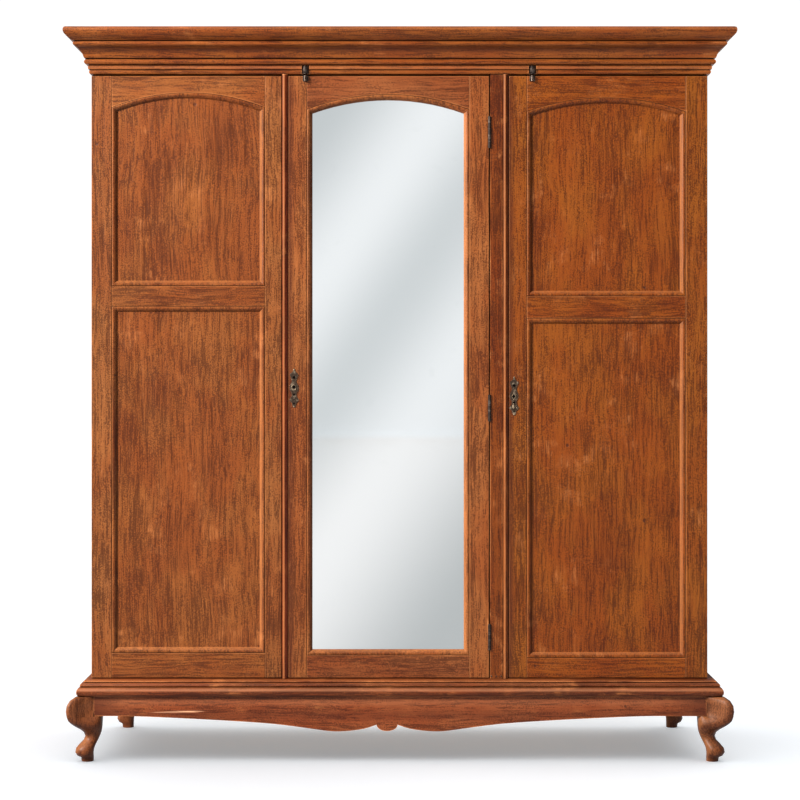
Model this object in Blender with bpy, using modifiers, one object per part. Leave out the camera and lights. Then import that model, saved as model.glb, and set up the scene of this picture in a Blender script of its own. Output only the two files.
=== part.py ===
"""Three-door mirrored wardrobe on short curved legs, in metres, +Z up, front facing -Y.

The origin is on the floor, under the middle of the wardrobe's whole box.
"""

import math

import bmesh
import bpy
from mathutils import Vector
from mathutils.geometry import interpolate_bezier

# Gaps and overruns that every fit shares
TOUCH = 0.0003          # air between two pieces that bear on each other
OVERRUN = 0.010         # how far a cutter runs past what it cuts

# The carcass box
BODY_HALF = 0.8527      # middle of the wardrobe to the outer face of a side
DEPTH = 0.556           # face of the doors to the back
SIDE_T = 0.022
BOARD_T = 0.022         # top, bottom and partition boards
SHELF_T = 0.020
BACK_T = 0.010
ARRIS = 0.0010          # small round on a worked edge

# Heights, stacked from the floor
LEG_H = 0.1796          # floor to the underside of the base moulding
BASE_H = 0.0459
AIR_UNDER_DOORS = 0.0020
DOOR_H = 1.6635
AIR_OVER_DOORS = 0.0046
CORNICE_H = 0.1224
FLOOR_LIP = 0.0175      # the inside floor stands this far above the doors' feet
CEILING_LIP = 0.0210    # and the inside ceiling this far below their heads

# Mouldings round the top and the base
CORNICE_OUT = 0.069     # how far the cornice stands out from the body
CORNICE_INSET = 0.050   # how far it bears on the carcass inside the body line
BASE_OUT = 0.0374

# Doors
DOOR_T = 0.024
DOOR_AIR = 0.0020       # air between a door's back and the carcass
LAP = 0.008             # how far a panel is held behind its frame
RABBET_Y = 0.0120       # front of the panel's rabbet, behind the door's face
PANEL_SINK = 0.0095     # panel's flat behind the door's face
PANEL_T = 0.009
BEAD_W = 0.0155         # width of the moulding round each panel
GLASS_T = 0.0045
LEFT_DOOR_W = 0.5252
LEFT_OUTER_STILE = 0.0556
LEFT_INNER_STILE = 0.0456
LEFT_MID_H = 0.0558
LEFT_MID_UP = 1.0271    # door's foot to its middle rail
LEFT_FOOT_RAIL_H = 0.0685
LEFT_ARCH_DROP = 0.0866  # door's head to where the arch springs
LEFT_ARCH_RISE = 0.0409
MIRROR_DOOR_W = 0.5542
MIRROR_LOCK_STILE = 0.0503
MIRROR_HINGE_STILE = 0.0540
MIRROR_FOOT_RAIL_H = 0.0619
MIRROR_ARCH_DROP = 0.0921
MIRROR_ARCH_RISE = 0.0417
RIGHT_DOOR_AIR = 0.0028  # right door's outer edge inside the body line
RIGHT_OUTER_STILE = 0.0600
RIGHT_INNER_STILE = 0.0492
RIGHT_MID_H = 0.0608
RIGHT_MID_UP = 0.9939
RIGHT_FOOT_RAIL_H = 0.0547
RIGHT_ARCH_DROP = 0.0977
RIGHT_ARCH_RISE = 0.0379

# Uprights between the doors
GAP_AT_BEAD = 0.0014    # air between a door and the bead beside it
FIRST_BEAD_W = 0.0165
BEAD_PROUD = 0.0065     # bead in front of the door faces
BEAD_LEAN = 0.58        # how far a bead's ridge leans to the left, 1 being the middle
FLANGE_W = 0.016        # stop behind each door's edge
FLANGE_D = 0.045
POST_W = 0.0345         # flat strip that carries the mirror door's hinges
QUIRK_W = 0.0014
QUIRK_D = 0.0030
HINGE_GAP = 0.0028      # air between the mirror door and its post
SECOND_BEAD_W = 0.0152

# Legs and aprons
KNEE_OUT = 0.0671       # knee beyond the corner of the body
REAR_LEG_EXTRA = 0.0253  # a rear leg's depth beyond its inner line
REAR_LEG_IN = 0.040     # rear legs further in than the front ones
APRON_T = 0.024
APRON_PROUD = 0.0225    # apron's face in front of the body line
APRON_H = 0.0545        # at its ends
APRON_LAP = 0.0225      # front apron let into the faces of the front legs
APRON_SAG = 0.0418      # lowest point below its ends
SIDE_APRON_RISE = 0.012
LOBE_SHIFT = 0.0045     # lobe on the apron, left of the mirror door's middle
LOBE_HALF = 0.0290
LOBE_DEPTH = 0.0173     # lobe below its two cusps
APRON_CURVE_HALF = 0.775

# Inside
POLE_R = 0.0135
POLE_DROP = 0.080       # ceiling to the middle of the pole
POLE_SEAT = 0.008       # depth of the pole's blind holes
SHELF_HOUSING = 0.006   # depth of the grooves that carry the shelves
LOWER_SHELF_UP = 0.470  # inside floor to the top of the shelf
UPPER_SHELF_UP = 1.000
SHELF_SETBACK = 0.002   # shelves behind the backs of the uprights
BACK_BOARDS = 8
BACK_GROOVE = 0.0025
SIDE_PANEL_SINK = 0.007
SIDE_FRAME_W = 0.070
SIDE_MID_UP = 1.037     # inside floor to the middle of a side's cross rail
SIDE_SLOPE = 0.009

# Pivots of the side doors
PIVOT_IN = 0.0050       # axis inside the door's outer edge
PIVOT_FWD = 0.0090      # axis in front of the door's back
PIN_R = 0.0025
PIN_IN_DOOR = 0.028
PIN_IN_FRAME = 0.011
COLLAR_R = 0.0045

# Butt hinges of the mirror door
HINGE_PROUD = 0.0015    # axis in front of the door's face
KNUCKLE_R = 0.0040
HINGE_PIN_R = 0.0015
RUNNING_AIR = 0.0003
LEAF_T = 0.0008
LEAF_D = 0.020
TOP_HINGE_L = 0.087
MIDDLE_HINGE_L = 0.073
BOTTOM_HINGE_L = 0.071
TOP_HINGE_DROP = 0.1555  # door's head to the middle of the top hinge
MIDDLE_HINGE_UP = 0.7455  # door's foot to the middle of the other two
BOTTOM_HINGE_UP = 0.1125
KNUCKLES = 5

# Locks and their plates
PLATE_W = 0.0250
PLATE_H = 0.1080
PLATE_T = 0.0020
BOSS_R = 0.0065
BOSS_T = 0.0014
KEY_R = 0.0026
KEY_SLOT_W = 0.0026
KEY_SLOT_H = 0.0090
MIRROR_LOCK_UP = 0.8010  # door's foot to its keyhole
RIGHT_LOCK_UP = 0.7789
MIRROR_PLATE_IN = 0.0028  # lock plate inside the door's edge
RIGHT_PLATE_IN = 0.0014
LOCK_BOLT_T = 0.0034
LOCK_BOLT_H = 0.0140
LOCK_BOLT_L = 0.0300
LOCK_TRAVEL = 0.008
LOCK_AIR = 0.0003

# Small slide bolts at the head of two doors
CATCH_W = 0.0150
CATCH_PLATE_T = 0.0016
CATCH_LOWER_H = 0.0150
CATCH_UPPER_H = 0.0210
CATCH_BARREL_R = 0.0050
CATCH_BOLT_R = 0.0028
CATCH_KNOB_R = 0.0014
CATCH_KNOB_L = 0.0050
CATCH_TRAVEL = 0.0095
CATCH_SLOT_AIR = 0.0004
MIRROR_CATCH_IN = 0.0470  # door's edge to the middle of its catch
RIGHT_CATCH_IN = 0.0644
CATCH_SEAT = 0.0010     # flat cut in the cornice, in front of the body line
CATCH_BAY = 0.0030      # air round a keeper in its cut

# Counts
ARC_STEPS = 14
ROUND = 20
LEG_POINTS = 20

# Places that follow from the sizes above
BASE_TOP = LEG_H + BASE_H
DOOR_FOOT = BASE_TOP + AIR_UNDER_DOORS
DOOR_HEAD = DOOR_FOOT + DOOR_H
CORNICE_UNDER = DOOR_HEAD + AIR_OVER_DOORS
FLOOR_TOP = DOOR_FOOT + FLOOR_LIP
CEILING = DOOR_HEAD - CEILING_LIP
FACE_Y = (CORNICE_OUT - DEPTH) / 2
BACK_Y = (CORNICE_OUT + DEPTH) / 2
DOOR_BACK_Y = FACE_Y + DOOR_T
CARCASS_Y = DOOR_BACK_Y + DOOR_AIR
UPRIGHT_BACK_Y = CARCASS_Y + FLANGE_D
SHELF_FRONT_Y = UPRIGHT_BACK_Y + SHELF_SETBACK
SIDE_IN = BODY_HALF - SIDE_T
BACK_IN_Y = BACK_Y - BACK_T
LEFT_DOOR_INNER = -BODY_HALF + LEFT_DOOR_W
BEAD_LEFT = LEFT_DOOR_INNER + GAP_AT_BEAD
BEAD_RIGHT = BEAD_LEFT + FIRST_BEAD_W
MIRROR_LEFT = BEAD_RIGHT + GAP_AT_BEAD
MIRROR_RIGHT = MIRROR_LEFT + MIRROR_DOOR_W
POST_LEFT = MIRROR_RIGHT + HINGE_GAP
POST_RIGHT = POST_LEFT + POST_W
SECOND_LEFT = POST_RIGHT + QUIRK_W
SECOND_RIGHT = SECOND_LEFT + SECOND_BEAD_W
RIGHT_DOOR_INNER = SECOND_RIGHT + GAP_AT_BEAD
RIGHT_DOOR_OUTER = BODY_HALF - RIGHT_DOOR_AIR
PARTITION_X = (POST_LEFT + SECOND_RIGHT) / 2
HINGE_X = MIRROR_RIGHT + HINGE_GAP / 2
HINGE_Y = FACE_Y - HINGE_PROUD
PIVOT_Y = DOOR_BACK_Y - PIVOT_FWD
LEFT_PIVOT_X = -BODY_HALF + PIVOT_IN
RIGHT_PIVOT_X = RIGHT_DOOR_OUTER - PIVOT_IN
LOCK_Y = (FACE_Y + DOOR_BACK_Y) / 2
MIRROR_LOCK_Z = DOOR_FOOT + MIRROR_LOCK_UP
RIGHT_LOCK_Z = DOOR_FOOT + RIGHT_LOCK_UP
MIRROR_CATCH_X = MIRROR_LEFT + MIRROR_CATCH_IN
RIGHT_CATCH_X = RIGHT_DOOR_INNER + RIGHT_CATCH_IN
LOBE_X = (MIRROR_LEFT + MIRROR_RIGHT) / 2 - LOBE_SHIFT
SIDE_MID_Z = FLOOR_TOP + SIDE_MID_UP
SHELVES = (("lower", FLOOR_TOP + LOWER_SHELF_UP), ("upper", FLOOR_TOP + UPPER_SHELF_UP))
HINGES = ((DOOR_HEAD - TOP_HINGE_DROP, TOP_HINGE_L), (DOOR_FOOT + MIDDLE_HINGE_UP, MIDDLE_HINGE_L),
          (DOOR_FOOT + BOTTOM_HINGE_UP, BOTTOM_HINGE_L))
POLE_Z = CEILING - POLE_DROP
POLE_Y = (CARCASS_Y + BACK_IN_Y) / 2
PARTITION_LEFT = PARTITION_X - BOARD_T / 2
PARTITION_RIGHT = PARTITION_X + BOARD_T / 2

# Shapes as shares of the sizes that they follow
CORNICE_SHARES = (
    (0.020, 0.0), (0.064, 0.010), (0.088, 0.036), (0.090, 0.062), (0.076, 0.080), (0.045, 0.085),
    (0.045, 0.099), (0.112, 0.106), (0.126, 0.132), (0.126, 0.166), (0.116, 0.186), (0.086, 0.192),
    (0.086, 0.208), (0.215, 0.216), (0.252, 0.236), (0.268, 0.262), (0.255, 0.292), (0.220, 0.318),
    (0.165, 0.324), (0.165, 0.344), (0.262, 0.352), (0.290, 0.385), (0.318, 0.440), (0.375, 0.495),
    (0.460, 0.548), (0.560, 0.585), (0.590, 0.596), (0.590, 0.606), (0.632, 0.612), (0.652, 0.632),
    (0.652, 0.668), (0.636, 0.686), (0.585, 0.690), (0.585, 0.706), (0.685, 0.712), (0.770, 0.742),
    (0.870, 0.790), (0.950, 0.838), (0.990, 0.878), (1.0, 0.915), (0.992, 0.955), (0.965, 0.984),
    (0.905, 1.0))
BASE_SHARES = (
    (0.70, 0.0), (0.86, 0.03), (0.96, 0.12), (1.0, 0.26), (0.96, 0.41), (0.87, 0.51), (0.77, 0.548),
    (0.62, 0.556), (0.62, 0.586), (0.73, 0.595), (0.765, 0.650), (0.74, 0.720), (0.66, 0.785),
    (0.45, 0.808), (0.45, 0.838), (0.50, 0.846), (0.50, 0.885), (0.43, 0.935), (0.30, 0.975),
    (0.16, 0.992), (0.05, 1.0))
# Height, inner line, outer line and squareness of a leg's sections, and how closely each keeps
# to the faces of the aprons beside it
LEG_SHARES = (
    (1.0, -0.463, 0.620, 7.0, 1.0), (0.955, -0.463, 0.825, 6.0, 1.0), (0.880, -0.463, 0.965, 5.0, 1.0),
    (0.790, -0.463, 1.015, 4.3, 1.0), (0.705, -0.463, 0.998, 3.7, 0.9), (0.640, -0.463, 0.945, 3.2, 0.7),
    (0.590, -0.462, 0.830, 2.8, 0.45), (0.540, -0.455, 0.665, 2.6, 0.25), (0.492, -0.438, 0.475, 2.4, 0.1),
    (0.440, -0.405, 0.322, 2.3, 0.0), (0.380, -0.350, 0.258, 2.2, 0.0), (0.325, -0.285, 0.308, 2.2, 0.0),
    (0.270, -0.215, 0.455, 2.2, 0.0), (0.210, -0.150, 0.592, 2.2, 0.0), (0.145, -0.125, 0.626, 2.1, 0.0),
    (0.092, -0.120, 0.548, 2.0, 0.0), (0.062, -0.118, 0.400, 2.0, 0.0), (0.0, -0.112, 0.379, 2.0, 0.0))
# Distance from the cusp, as a share of the curve's half, and depth as a share of the sag
APRON_SHARES = (
    (0.0, 0.567), (0.045, 0.830), (0.110, 0.985), (0.165, 0.985), (0.235, 0.815), (0.370, 0.500),
    (0.540, 0.285), (0.730, 0.105), (0.880, 0.0), (1.0, 0.0))
# Moulding round a panel: inset as a share of its width, depth as a share of the panel's sink
BEAD_SHARES = ((0.02, 0.320), (0.07, 0.120), (0.18, 0.010), (0.32, 0.030), (0.47, 0.130), (0.61, 0.280),
               (0.74, 0.460), (0.85, 0.660), (0.92, 0.860))
HANDLE_SHARE = 1 / 6     # pull of a smooth line's handles, as a share of the span they bridge
# Half outline of a lock plate: share of its half width, share of its height
PLATE_SHARES = (
    (0.0, 0.500), (0.15, 0.470), (0.20, 0.435), (0.45, 0.395), (0.82, 0.365), (0.90, 0.320),
    (0.70, 0.275), (0.62, 0.225), (0.45, 0.180), (0.62, 0.120), (0.88, 0.060), (0.94, 0.0),
    (0.84, -0.070), (0.56, -0.115), (0.50, -0.165), (0.52, -0.215), (0.74, -0.250), (1.0, -0.290),
    (0.90, -0.335), (0.58, -0.365), (0.42, -0.405), (0.34, -0.450), (0.16, -0.485), (0.0, -0.500))
# Round piercings of a lock plate: place as a share of its height, radius as a share of its half width
PIERCING_SHARES = ((0.270, 0.180), (-0.165, 0.165), (-0.300, 0.130), (-0.395, 0.140))


def start_clean():
    for old in list(bpy.data.objects):
        bpy.data.objects.remove(old, do_unlink=True)


start_clean()
WARDROBE = bpy.data.collections.new("mirrored_wardrobe")
CUTTERS = bpy.data.collections.new("cutters")
bpy.context.scene.collection.children.link(WARDROBE)
bpy.context.scene.collection.children.link(CUTTERS)


def finish(name, colour, roughness, metallic):
    made = bpy.data.materials.new(name)
    made.use_nodes = True
    shader = made.node_tree.nodes["Principled BSDF"]
    shader.inputs["Base Color"].default_value = (*colour, 1.0)
    shader.inputs["Roughness"].default_value = roughness
    shader.inputs["Metallic"].default_value = metallic
    return made


TEAK = finish("polished_teak", (0.42, 0.155, 0.055), 0.42, 0.0)
PANEL_WOOD = finish("panel_teak", (0.36, 0.115, 0.042), 0.40, 0.0)
INSIDE_WOOD = finish("inside_pine", (0.40, 0.25, 0.13), 0.62, 0.0)
MIRROR = finish("silvered_mirror", (0.82, 0.86, 0.87), 0.03, 1.0)
IRON = finish("dark_iron", (0.075, 0.062, 0.052), 0.48, 0.9)
CAST_BRASS = finish("aged_cast_brass", (0.16, 0.105, 0.060), 0.46, 0.9)


def place(name, mesh, material, at=(0.0, 0.0, 0.0), cutter=False):
    made = bpy.data.objects.new(name, mesh)
    made.location = at
    if cutter:
        CUTTERS.objects.link(made)
        made.hide_render = True
        made.display_type = "WIRE"
    else:
        WARDROBE.objects.link(made)
        mesh.materials.clear()
        mesh.materials.append(material)
    return made


def mesh_from(name, work):
    bmesh.ops.recalc_face_normals(work, faces=work.faces)
    mesh = bpy.data.meshes.new(name)
    work.to_mesh(mesh)
    work.free()
    return mesh


def soften(piece, width=ARRIS, segments=1):
    """A worked edge, rounded by hand."""
    worn = piece.modifiers.new("worked_edge", "BEVEL")
    worn.width = width
    worn.segments = segments
    worn.limit_method = "ANGLE"
    return piece


def block(name, low, high, material, cutter=False, arris=ARRIS):
    """A squared board between two corners."""
    low, high = Vector(low), Vector(high)
    size = high - low
    work = bmesh.new()
    bmesh.ops.create_cube(work, size=1.0)
    bmesh.ops.scale(work, vec=size, verts=work.verts)
    piece = place(name, mesh_from(name, work), material, (low + high) / 2, cutter)
    if arris and not cutter:
        soften(piece, arris)
    return piece


def slab(name, outlines, plane, middle, thickness, material, cutter=False):
    """Flat outlines, the first the edge and any others holes, given a thickness.

    plane is front for X and Z, plan for X and Y, side for Y and Z.
    """
    turn = {"front": (math.pi / 2, 0.0, 0.0), "plan": (0.0, 0.0, 0.0),
            "side": (math.pi / 2, 0.0, math.pi / 2)}[plane]
    away = {"front": (0.0, middle, 0.0), "plan": (0.0, 0.0, middle), "side": (middle, 0.0, 0.0)}[plane]
    flat = bpy.data.curves.new(name, "CURVE")
    flat.dimensions = "2D"
    flat.fill_mode = "BOTH"
    flat.extrude = thickness / 2
    for outline in outlines:
        edge = flat.splines.new("POLY")
        edge.points.add(len(outline) - 1)
        for point, (across, along) in zip(edge.points, outline):
            point.co = Vector((across, along, 0.0)).to_4d()
        edge.use_cyclic_u = True
    drawn = bpy.data.objects.new(name, flat)
    bpy.context.scene.collection.objects.link(drawn)
    drawn.rotation_euler = turn
    drawn.location = away
    bpy.context.view_layer.update()
    mesh = bpy.data.meshes.new_from_object(drawn.evaluated_get(bpy.context.evaluated_depsgraph_get()))
    matrix = drawn.matrix_world.copy()
    bpy.data.objects.remove(drawn, do_unlink=True)
    work = bmesh.new()
    work.from_mesh(mesh)
    bmesh.ops.remove_doubles(work, verts=work.verts, dist=TOUCH / 30)
    bmesh.ops.recalc_face_normals(work, faces=work.faces)
    work.to_mesh(mesh)
    work.free()
    piece = place(name, mesh, material, cutter=cutter)
    piece.matrix_world = matrix
    return piece


def rod(name, start, end, radius, material, cutter=False, sides=ROUND):
    """A round bar between two points."""
    start, end = Vector(start), Vector(end)
    along = end - start
    work = bmesh.new()
    bmesh.ops.create_cone(work, cap_ends=True, segments=sides, radius1=radius, radius2=radius,
                          depth=along.length)
    piece = place(name, mesh_from(name, work), material, (start + end) / 2, cutter)
    piece.rotation_euler = along.to_track_quat("Z", "Y").to_euler()
    return piece


def loft(name, rings, material, hoop=False, cutter=False):
    """Skin over rings of points. A hoop's last ring meets its first, otherwise both ends are closed."""
    work = bmesh.new()
    placed = [[work.verts.new(point) for point in ring] for ring in rings]
    pairs = list(zip(placed, placed[1:]))
    if hoop:
        pairs.append((placed[-1], placed[0]))
    count = len(placed[0])
    for near, far in pairs:
        for i in range(count):
            j = (i + 1) % count
            work.faces.new((near[i], near[j], far[j], far[i]))
    if not hoop:
        work.faces.new(placed[0])
        work.faces.new(list(reversed(placed[-1])))
    return place(name, mesh_from(name, work), material, cutter=cutter)


def combine(piece, tool, operation):
    step = piece.modifiers.new(tool.name, "BOOLEAN")
    step.operation = operation
    step.object = tool
    return piece


def cut(piece, *tools):
    for tool in tools:
        combine(piece, tool, "DIFFERENCE")
    return piece


def join(piece, *tools):
    for tool in tools:
        combine(piece, tool, "UNION")
    return piece


def round_smooth(piece, angle=math.radians(35.0)):
    piece.data.shade_smooth()
    piece.data.set_sharp_from_angle(angle=angle)
    return piece


def curve_through(points, steps):
    """A smooth line through hand-set points."""
    spots = [Vector((across, along, 0.0)) for across, along in points]
    ends = [spots[0]] + spots + [spots[-1]]
    pulls = [(after - before) * HANDLE_SHARE for before, after in zip(ends, ends[2:])]
    line = []
    for n, (start, end) in enumerate(zip(spots, spots[1:])):
        bend = interpolate_bezier(start, start + pulls[n], end - pulls[n + 1], end, steps + 1)
        line += [tuple(spot[:2]) for spot in bend[:-1]]
    line.append(tuple(spots[-1][:2]))
    return line


def half_round(left, right, base_y, proud, steps):
    """Front of a bead between two edges, from right to left, its ridge leaning to the left."""
    points = []
    for k in range(steps + 1):
        turn = math.pi * k / steps
        across = ((1 - math.cos(turn)) / 2) ** BEAD_LEAN
        points.append((right + (left - right) * across, base_y - proud * math.sin(turn)))
    return points


def empty_on(name, at):
    hub = bpy.data.objects.new(name, None)
    hub.location = at
    WARDROBE.objects.link(hub)
    return hub


def hang(pieces, hub):
    """Let pieces ride on the empty that sits on their joint's axis."""
    bpy.context.view_layer.update()
    for piece in pieces:
        kept = piece.matrix_world.copy()
        piece.parent = hub
        piece.matrix_parent_inverse = hub.matrix_world.inverted()
        piece.matrix_world = kept


# Mouldings that run along both sides and the front, mitred at the two front corners
def mitred_frame(name, shares, reach, foot, height, inner_x, inner_y, material):
    outer = [(reach * out, foot + height * up) for out, up in shares]
    stations = []
    for side in (-1, 1):
        for y_of in ((lambda out: BACK_Y), (lambda out: FACE_Y - out)):
            ring = [(side * (BODY_HALF + out), y_of(out), z) for out, z in outer]
            inside_y = BACK_Y if y_of(reach) == BACK_Y else inner_y
            ring.append((side * inner_x, inside_y, foot + height))
            ring.append((side * inner_x, inside_y, foot))
            stations.append(ring)
    back_left, front_left, back_right, front_right = stations
    return loft(name, [back_left, front_left, front_right, back_right], material)


def base_and_cornice():
    base = mitred_frame("base_moulding", BASE_SHARES, BASE_OUT, LEG_H, BASE_H,
                        BODY_HALF + TOUCH, CARCASS_Y - TOUCH, TEAK)
    crown = mitred_frame("cornice", CORNICE_SHARES, CORNICE_OUT, CORNICE_UNDER,
                         CORNICE_H, BODY_HALF - CORNICE_INSET,
                         CARCASS_Y + CORNICE_INSET, TEAK)
    for side, pivot_x in (("left", LEFT_PIVOT_X), ("right", RIGHT_PIVOT_X)):
        low = rod(side + "_pivot_hole_low", (pivot_x, PIVOT_Y, BASE_TOP - PIN_IN_FRAME - TOUCH),
                  (pivot_x, PIVOT_Y, BASE_TOP + OVERRUN), PIN_R + TOUCH, None, cutter=True)
        high = rod(side + "_pivot_hole_high", (pivot_x, PIVOT_Y, CORNICE_UNDER - OVERRUN),
                   (pivot_x, PIVOT_Y, CORNICE_UNDER + PIN_IN_FRAME + TOUCH), PIN_R + TOUCH, None,
                   cutter=True)
        cut(base, low)
        cut(crown, high)
    for owner, x in (("mirror", MIRROR_CATCH_X), ("right", RIGHT_CATCH_X)):
        bay = block(owner + "_catch_bay",
                    (x - CATCH_W / 2 - CATCH_BAY, FACE_Y - CORNICE_OUT, CORNICE_UNDER - OVERRUN),
                    (x + CATCH_W / 2 + CATCH_BAY, FACE_Y - CATCH_SEAT,
                     CORNICE_UNDER + TOUCH + CATCH_UPPER_H + CATCH_BAY), None, cutter=True)
        cut(crown, bay)


def eased(share):
    """A share from 0 to 1 with a soft start and end."""
    return share * share * (3 - 2 * share)


def leg(name, side, front):
    """A short cabriole leg: square at the top, out at the knee, in at the ankle, out at the toe.
    Its knee swells at the corner and dies into the aprons."""
    tall = LEG_H - TOUCH
    set_in = 0.0 if front else REAR_LEG_IN
    rings = []
    for up, inner, outer, square, hold in LEG_SHARES:
        ring = []
        for k in range(LEG_POINTS):
            turn = 2 * math.pi * (k + 0.5) / LEG_POINTS
            c, s = math.cos(turn), math.sin(turn)
            out_x = (1 + math.copysign(abs(c) ** (2 / square), side * c)) / 2
            out_y = (1 + math.copysign(abs(s) ** (2 / square), -s if front else s)) / 2
            full = KNEE_OUT * outer
            wide = full - KNEE_OUT * inner
            beyond = max(0, out_x * wide - APRON_LAP) / (wide - APRON_LAP)
            reach_x = full + hold * (APRON_PROUD + set_in - full) * (1 - eased(out_y))
            reach_y = full + hold * (APRON_PROUD - full) * (1 - eased(beyond))
            x = BODY_HALF - set_in + KNEE_OUT * inner + (reach_x - KNEE_OUT * inner) * out_x
            if front:
                y = FACE_Y - KNEE_OUT * inner - (reach_y - KNEE_OUT * inner) * out_y
            else:
                near = BACK_Y - REAR_LEG_EXTRA + KNEE_OUT * inner
                y = near + (BACK_Y - near) * out_y
            ring.append((side * x, y, tall * up))
        rings.append(ring)
    made = round_smooth(loft(name, rings, TEAK))
    if front:
        inner_x = BODY_HALF + KNEE_OUT * LEG_SHARES[0][1]
        near, far = sorted((side * (inner_x - OVERRUN), side * (inner_x + APRON_LAP)))
        rebate = block(name + "_rebate",
                       (near, FACE_Y - KNEE_OUT - OVERRUN, LEG_H - APRON_H - TOUCH),
                       (far, FACE_Y - APRON_PROUD + APRON_T + TOUCH, LEG_H + OVERRUN), None, cutter=True)
        cut(made, rebate)
    return made


def legs_and_aprons():
    for side, word in ((-1, "left"), (1, "right")):
        leg("front_" + word + "_leg", side, True)
        leg("rear_" + word + "_leg", side, False)
    top = LEG_H - TOUCH
    end_z = LEG_H - APRON_H
    inner_share = -LEG_SHARES[0][1]
    end_x = BODY_HALF - KNEE_OUT * inner_share + APRON_LAP - TOUCH
    cusp_z = end_z - APRON_SAG * APRON_SHARES[0][1]

    def flank(sign):
        points = [(LOBE_X + sign * (LOBE_HALF + along * APRON_CURVE_HALF), end_z - APRON_SAG * down)
                  for along, down in APRON_SHARES]
        return [p for p in curve_through(points, 3) if abs(p[0]) < end_x]

    lobe = [(LOBE_X - LOBE_HALF * math.cos(math.pi * k / ARC_STEPS),
             cusp_z - LOBE_DEPTH * math.sin(math.pi * k / ARC_STEPS)) for k in range(1, ARC_STEPS)]
    outline = [(end_x, top), (-end_x, top), (-end_x, end_z)]
    outline += list(reversed(flank(-1))) + lobe + flank(1) + [(end_x, end_z)]
    slab("front_apron", [outline], "front", FACE_Y - APRON_PROUD + APRON_T / 2, APRON_T, TEAK)
    front_y = FACE_Y + KNEE_OUT * inner_share + TOUCH
    rear_y = BACK_Y - REAR_LEG_EXTRA - KNEE_OUT * inner_share - TOUCH
    steps = ARC_STEPS
    arch = [(rear_y + (front_y - rear_y) * k / steps,
             end_z + SIDE_APRON_RISE * math.sin(math.pi * k / steps)) for k in range(steps + 1)]
    edge = [(front_y, top), (rear_y, top)] + arch
    for side, word in ((-1, "left"), (1, "right")):
        slab(word + "_apron", [edge], "side", side * (BODY_HALF + APRON_PROUD - APRON_T / 2), APRON_T,
             TEAK)


def carcass():
    """Boards that make the box: floor, ceiling, two sides, back and partition."""
    foot = LEG_H + TOUCH
    head = CORNICE_UNDER - TOUCH
    inside = SIDE_IN - TOUCH
    rear = BACK_IN_Y - TOUCH
    block("bottom_board", (-inside, CARCASS_Y, FLOOR_TOP - BOARD_T), (inside, rear, FLOOR_TOP), INSIDE_WOOD)
    block("top_board", (-inside, CARCASS_Y, CEILING), (inside, rear, head), INSIDE_WOOD)
    groove_cut = [block("shelf_groove_" + str(n),
                        (PARTITION_RIGHT - SHELF_HOUSING, SHELF_FRONT_Y - TOUCH, z - SHELF_T - TOUCH),
                        (SIDE_IN + SHELF_HOUSING, rear + OVERRUN, z + TOUCH), None, cutter=True)
                  for n, (_, z) in enumerate(SHELVES, 1)]
    pole_hole = rod("pole_holes", (-SIDE_IN - POLE_SEAT, POLE_Y, POLE_Z),
                    (PARTITION_LEFT + POLE_SEAT, POLE_Y, POLE_Z), POLE_R + TOUCH, None, cutter=True)
    for side, word in ((-1, "left"), (1, "right")):
        near, far = sorted((side * SIDE_IN, side * BODY_HALF))
        board = block(word + "_side", (near, CARCASS_Y, foot), (far, rear, head), TEAK)
        fields = ((FLOOR_TOP + SIDE_FRAME_W / 2, SIDE_MID_Z - SIDE_FRAME_W / 2),
                  (SIDE_MID_Z + SIDE_FRAME_W / 2, CEILING - SIDE_FRAME_W / 2))
        for n, (low, high) in enumerate(fields, 1):
            y0, y1 = CARCASS_Y + SIDE_FRAME_W, rear - SIDE_FRAME_W
            rings = []
            for depth, shrink in ((-OVERRUN, 0.0), (0.0, 0.0), (SIDE_PANEL_SINK, SIDE_SLOPE)):
                x = side * (BODY_HALF - depth)
                rings.append([(x, y0 + shrink, low + shrink), (x, y1 - shrink, low + shrink),
                              (x, y1 - shrink, high - shrink), (x, y0 + shrink, high - shrink)])
            cut(board, loft("{}_side_field_{}".format(word, n), rings, None, cutter=True))
        if side < 0:
            cut(board, pole_hole)
        else:
            cut(board, *groove_cut)
    partition = block("partition", (PARTITION_LEFT, UPRIGHT_BACK_Y + TOUCH, FLOOR_TOP + TOUCH),
                      (PARTITION_RIGHT, rear, CEILING - TOUCH), INSIDE_WOOD)
    cut(partition, pole_hole, *groove_cut)
    back_outline = [(-BODY_HALF, BACK_Y), (-BODY_HALF, BACK_IN_Y)]
    width = 2 * BODY_HALF / BACK_BOARDS
    joints = [-BODY_HALF + width * n for n in range(1, BACK_BOARDS)]
    for x in joints:
        back_outline += [(x - BACK_GROOVE, BACK_IN_Y), (x, BACK_IN_Y + BACK_GROOVE),
                         (x + BACK_GROOVE, BACK_IN_Y)]
    back_outline += [(BODY_HALF, BACK_IN_Y), (BODY_HALF, BACK_Y)]
    for x in reversed(joints):
        back_outline += [(x + BACK_GROOVE, BACK_Y), (x, BACK_Y - BACK_GROOVE), (x - BACK_GROOVE, BACK_Y)]
    slab("back_panel", [back_outline], "plan", (foot + head) / 2, head - foot, INSIDE_WOOD)


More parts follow.
